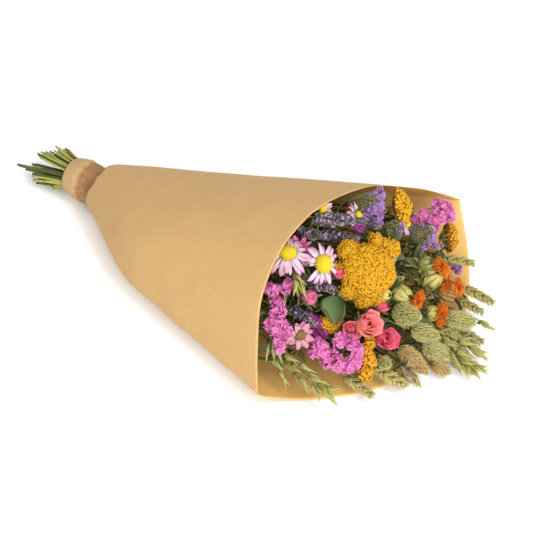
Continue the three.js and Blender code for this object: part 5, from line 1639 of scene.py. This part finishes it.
FILLERS, LEAVES_FROM = 170, 90  # how many thin stalks there are, and from where they bear leaves
LEAF_LENGTH = 24
leaf_places = []
for _ in range(FILLERS):
    foot, ahead, _ = roll.choice(stems_wanted)
    others = [other for other, _, _ in stems_wanted if 8 < (other - foot).length < 60]
    end = between(foot, roll.choice(others), roll.uniform(0.2, 0.75)) + ahead * roll.uniform(-18, 2)
    if not inside_paper(end, 6):
        continue
    start = Vector((BUNDLE_HALF - 8, 0, BAND_MIDDLE.z))
    start += bundle_place(roll.random() * 0.8, roll.uniform(0, 6.28))
    turn = between(start, end - ahead * 20, 0.7)
    line = drawn_in(bowed(start, turn, end, steps=12, wobble=1.5))
    kind = roll.choice(("green", "dark", "dark", "brown"))
    stalk(stems[kind], line, 0.8, 0.5, sides=5, tint=roll.random())
    for k in range(6):
        spot = line[-1 - k % 4]
        swing = k * GOLDEN + roll.uniform(0, 2)
        along = (line[-1] - line[-3]).normalized()
        aside = along.orthogonal().normalized()
        aside.rotate(Quaternion(along, swing))
        way = along + aside
        if spot.x > LEAVES_FROM and all(inside_paper(spot + way * reach, 4) for reach in (6, 12, 20)):
            length, width = roll.uniform(0.55, 1.1), roll.uniform(0.5, 1.2)
            if inside_paper(spot + way * LEAF_LENGTH * length, 4):
                facing = (along + aside * 0.8).normalized()
                leaf_places.append((spot, facing, aside, (length, width, length)))

CUT_STEMS = 92
CUTS = [  # from what height down, how far the ends lie aside and up, their lengths, and their colours
    (8, 8, 6, (0.2, 0.48), ("green", "green", "green", "brown")),
    (2, 5, 2, (0.35, 0.72), ("green", "green", "green", "dark")),
    (-5, -3, -4, (0.35, 0.87), ("dark", "dark", "green", "dark", "brown")),
    (-99, -9, 0, (0.2, 0.55), ("green", "dark", "brown", "green")),
]
for i in range(CUT_STEMS):
    across = bundle_place((i + 0.5) / CUT_STEMS, i * GOLDEN)
    start = across + Vector((BUNDLE_HALF, 0, BAND_MIDDLE.z))
    rise = across.y * 0.56 + across.z * 0.83  # how high in the bundle, as the camera sees it
    aside, lift, lengths, kinds = next(cut for lowest, *cut in CUTS if rise > lowest)
    reach = TAIL * roll.uniform(*lengths)
    fan = 1 + 0.5 * reach / TAIL
    tail_end = -BUNDLE_HALF - reach
    end = Vector((tail_end, across.y * fan + aside, middle_height(tail_end) + across.z * fan * 1.15))
    end += Vector((0, roll.uniform(-2, 2), lift + roll.uniform(-1.5, 1.5)))
    end.z = max(end.z, 2.5)
    thick = roll.uniform(1.0, 1.6)
    kind = roll.choice(kinds)
    knee = Vector((-BUNDLE_HALF, across.y * 1.08, middle_height(-BUNDLE_HALF) + across.z * 1.08))
    line = bowed(start, knee, end, steps=9, wobble=0.5)
    stalk(stems[kind], line, thick, thick * 0.95, sides=8, tint=roll.random())

stem_live = dried(
    "green stem", {0.0: (160, 170, 74), 1.0: (188, 192, 96)},
    faded=(222, 206, 110), fade=0.8, rough=0.65, grain=500)
stem_dark = dried(
    "dark stem", {0.0: (70, 84, 40), 1.0: (98, 108, 54)},
    faded=(134, 136, 70), fade=0.6, rough=0.65, grain=500)
stem_brown = dried(
    "brown stem", {0.0: (104, 82, 40), 1.0: (142, 112, 56)},
    faded=(160, 134, 74), fade=0.6, rough=0.65, grain=500)
for kind, finish in (("green", stem_live), ("dark", stem_dark), ("brown", stem_brown)):
    settle(f"stems_{kind}", [stems[kind].mesh("stems", finish)], to_metres, "dried_stems", "stems")
small_leaf = blade(LEAF_LENGTH, 4.5, [0.3, 0.9, 1, 0.6, 0], bend=0.7, cup=0.5, thick=0.4, half=1)
leaves = grow(small_leaf, leaf_places, leaf_dark, 0.2, 0.25, 7)
settle("small_leaves", [leaves], to_metres, "leaf_dark_green")


# ------------------------------------------------------------------ the whole
# Brings the scene up to date.

bpy.context.view_layer.update()
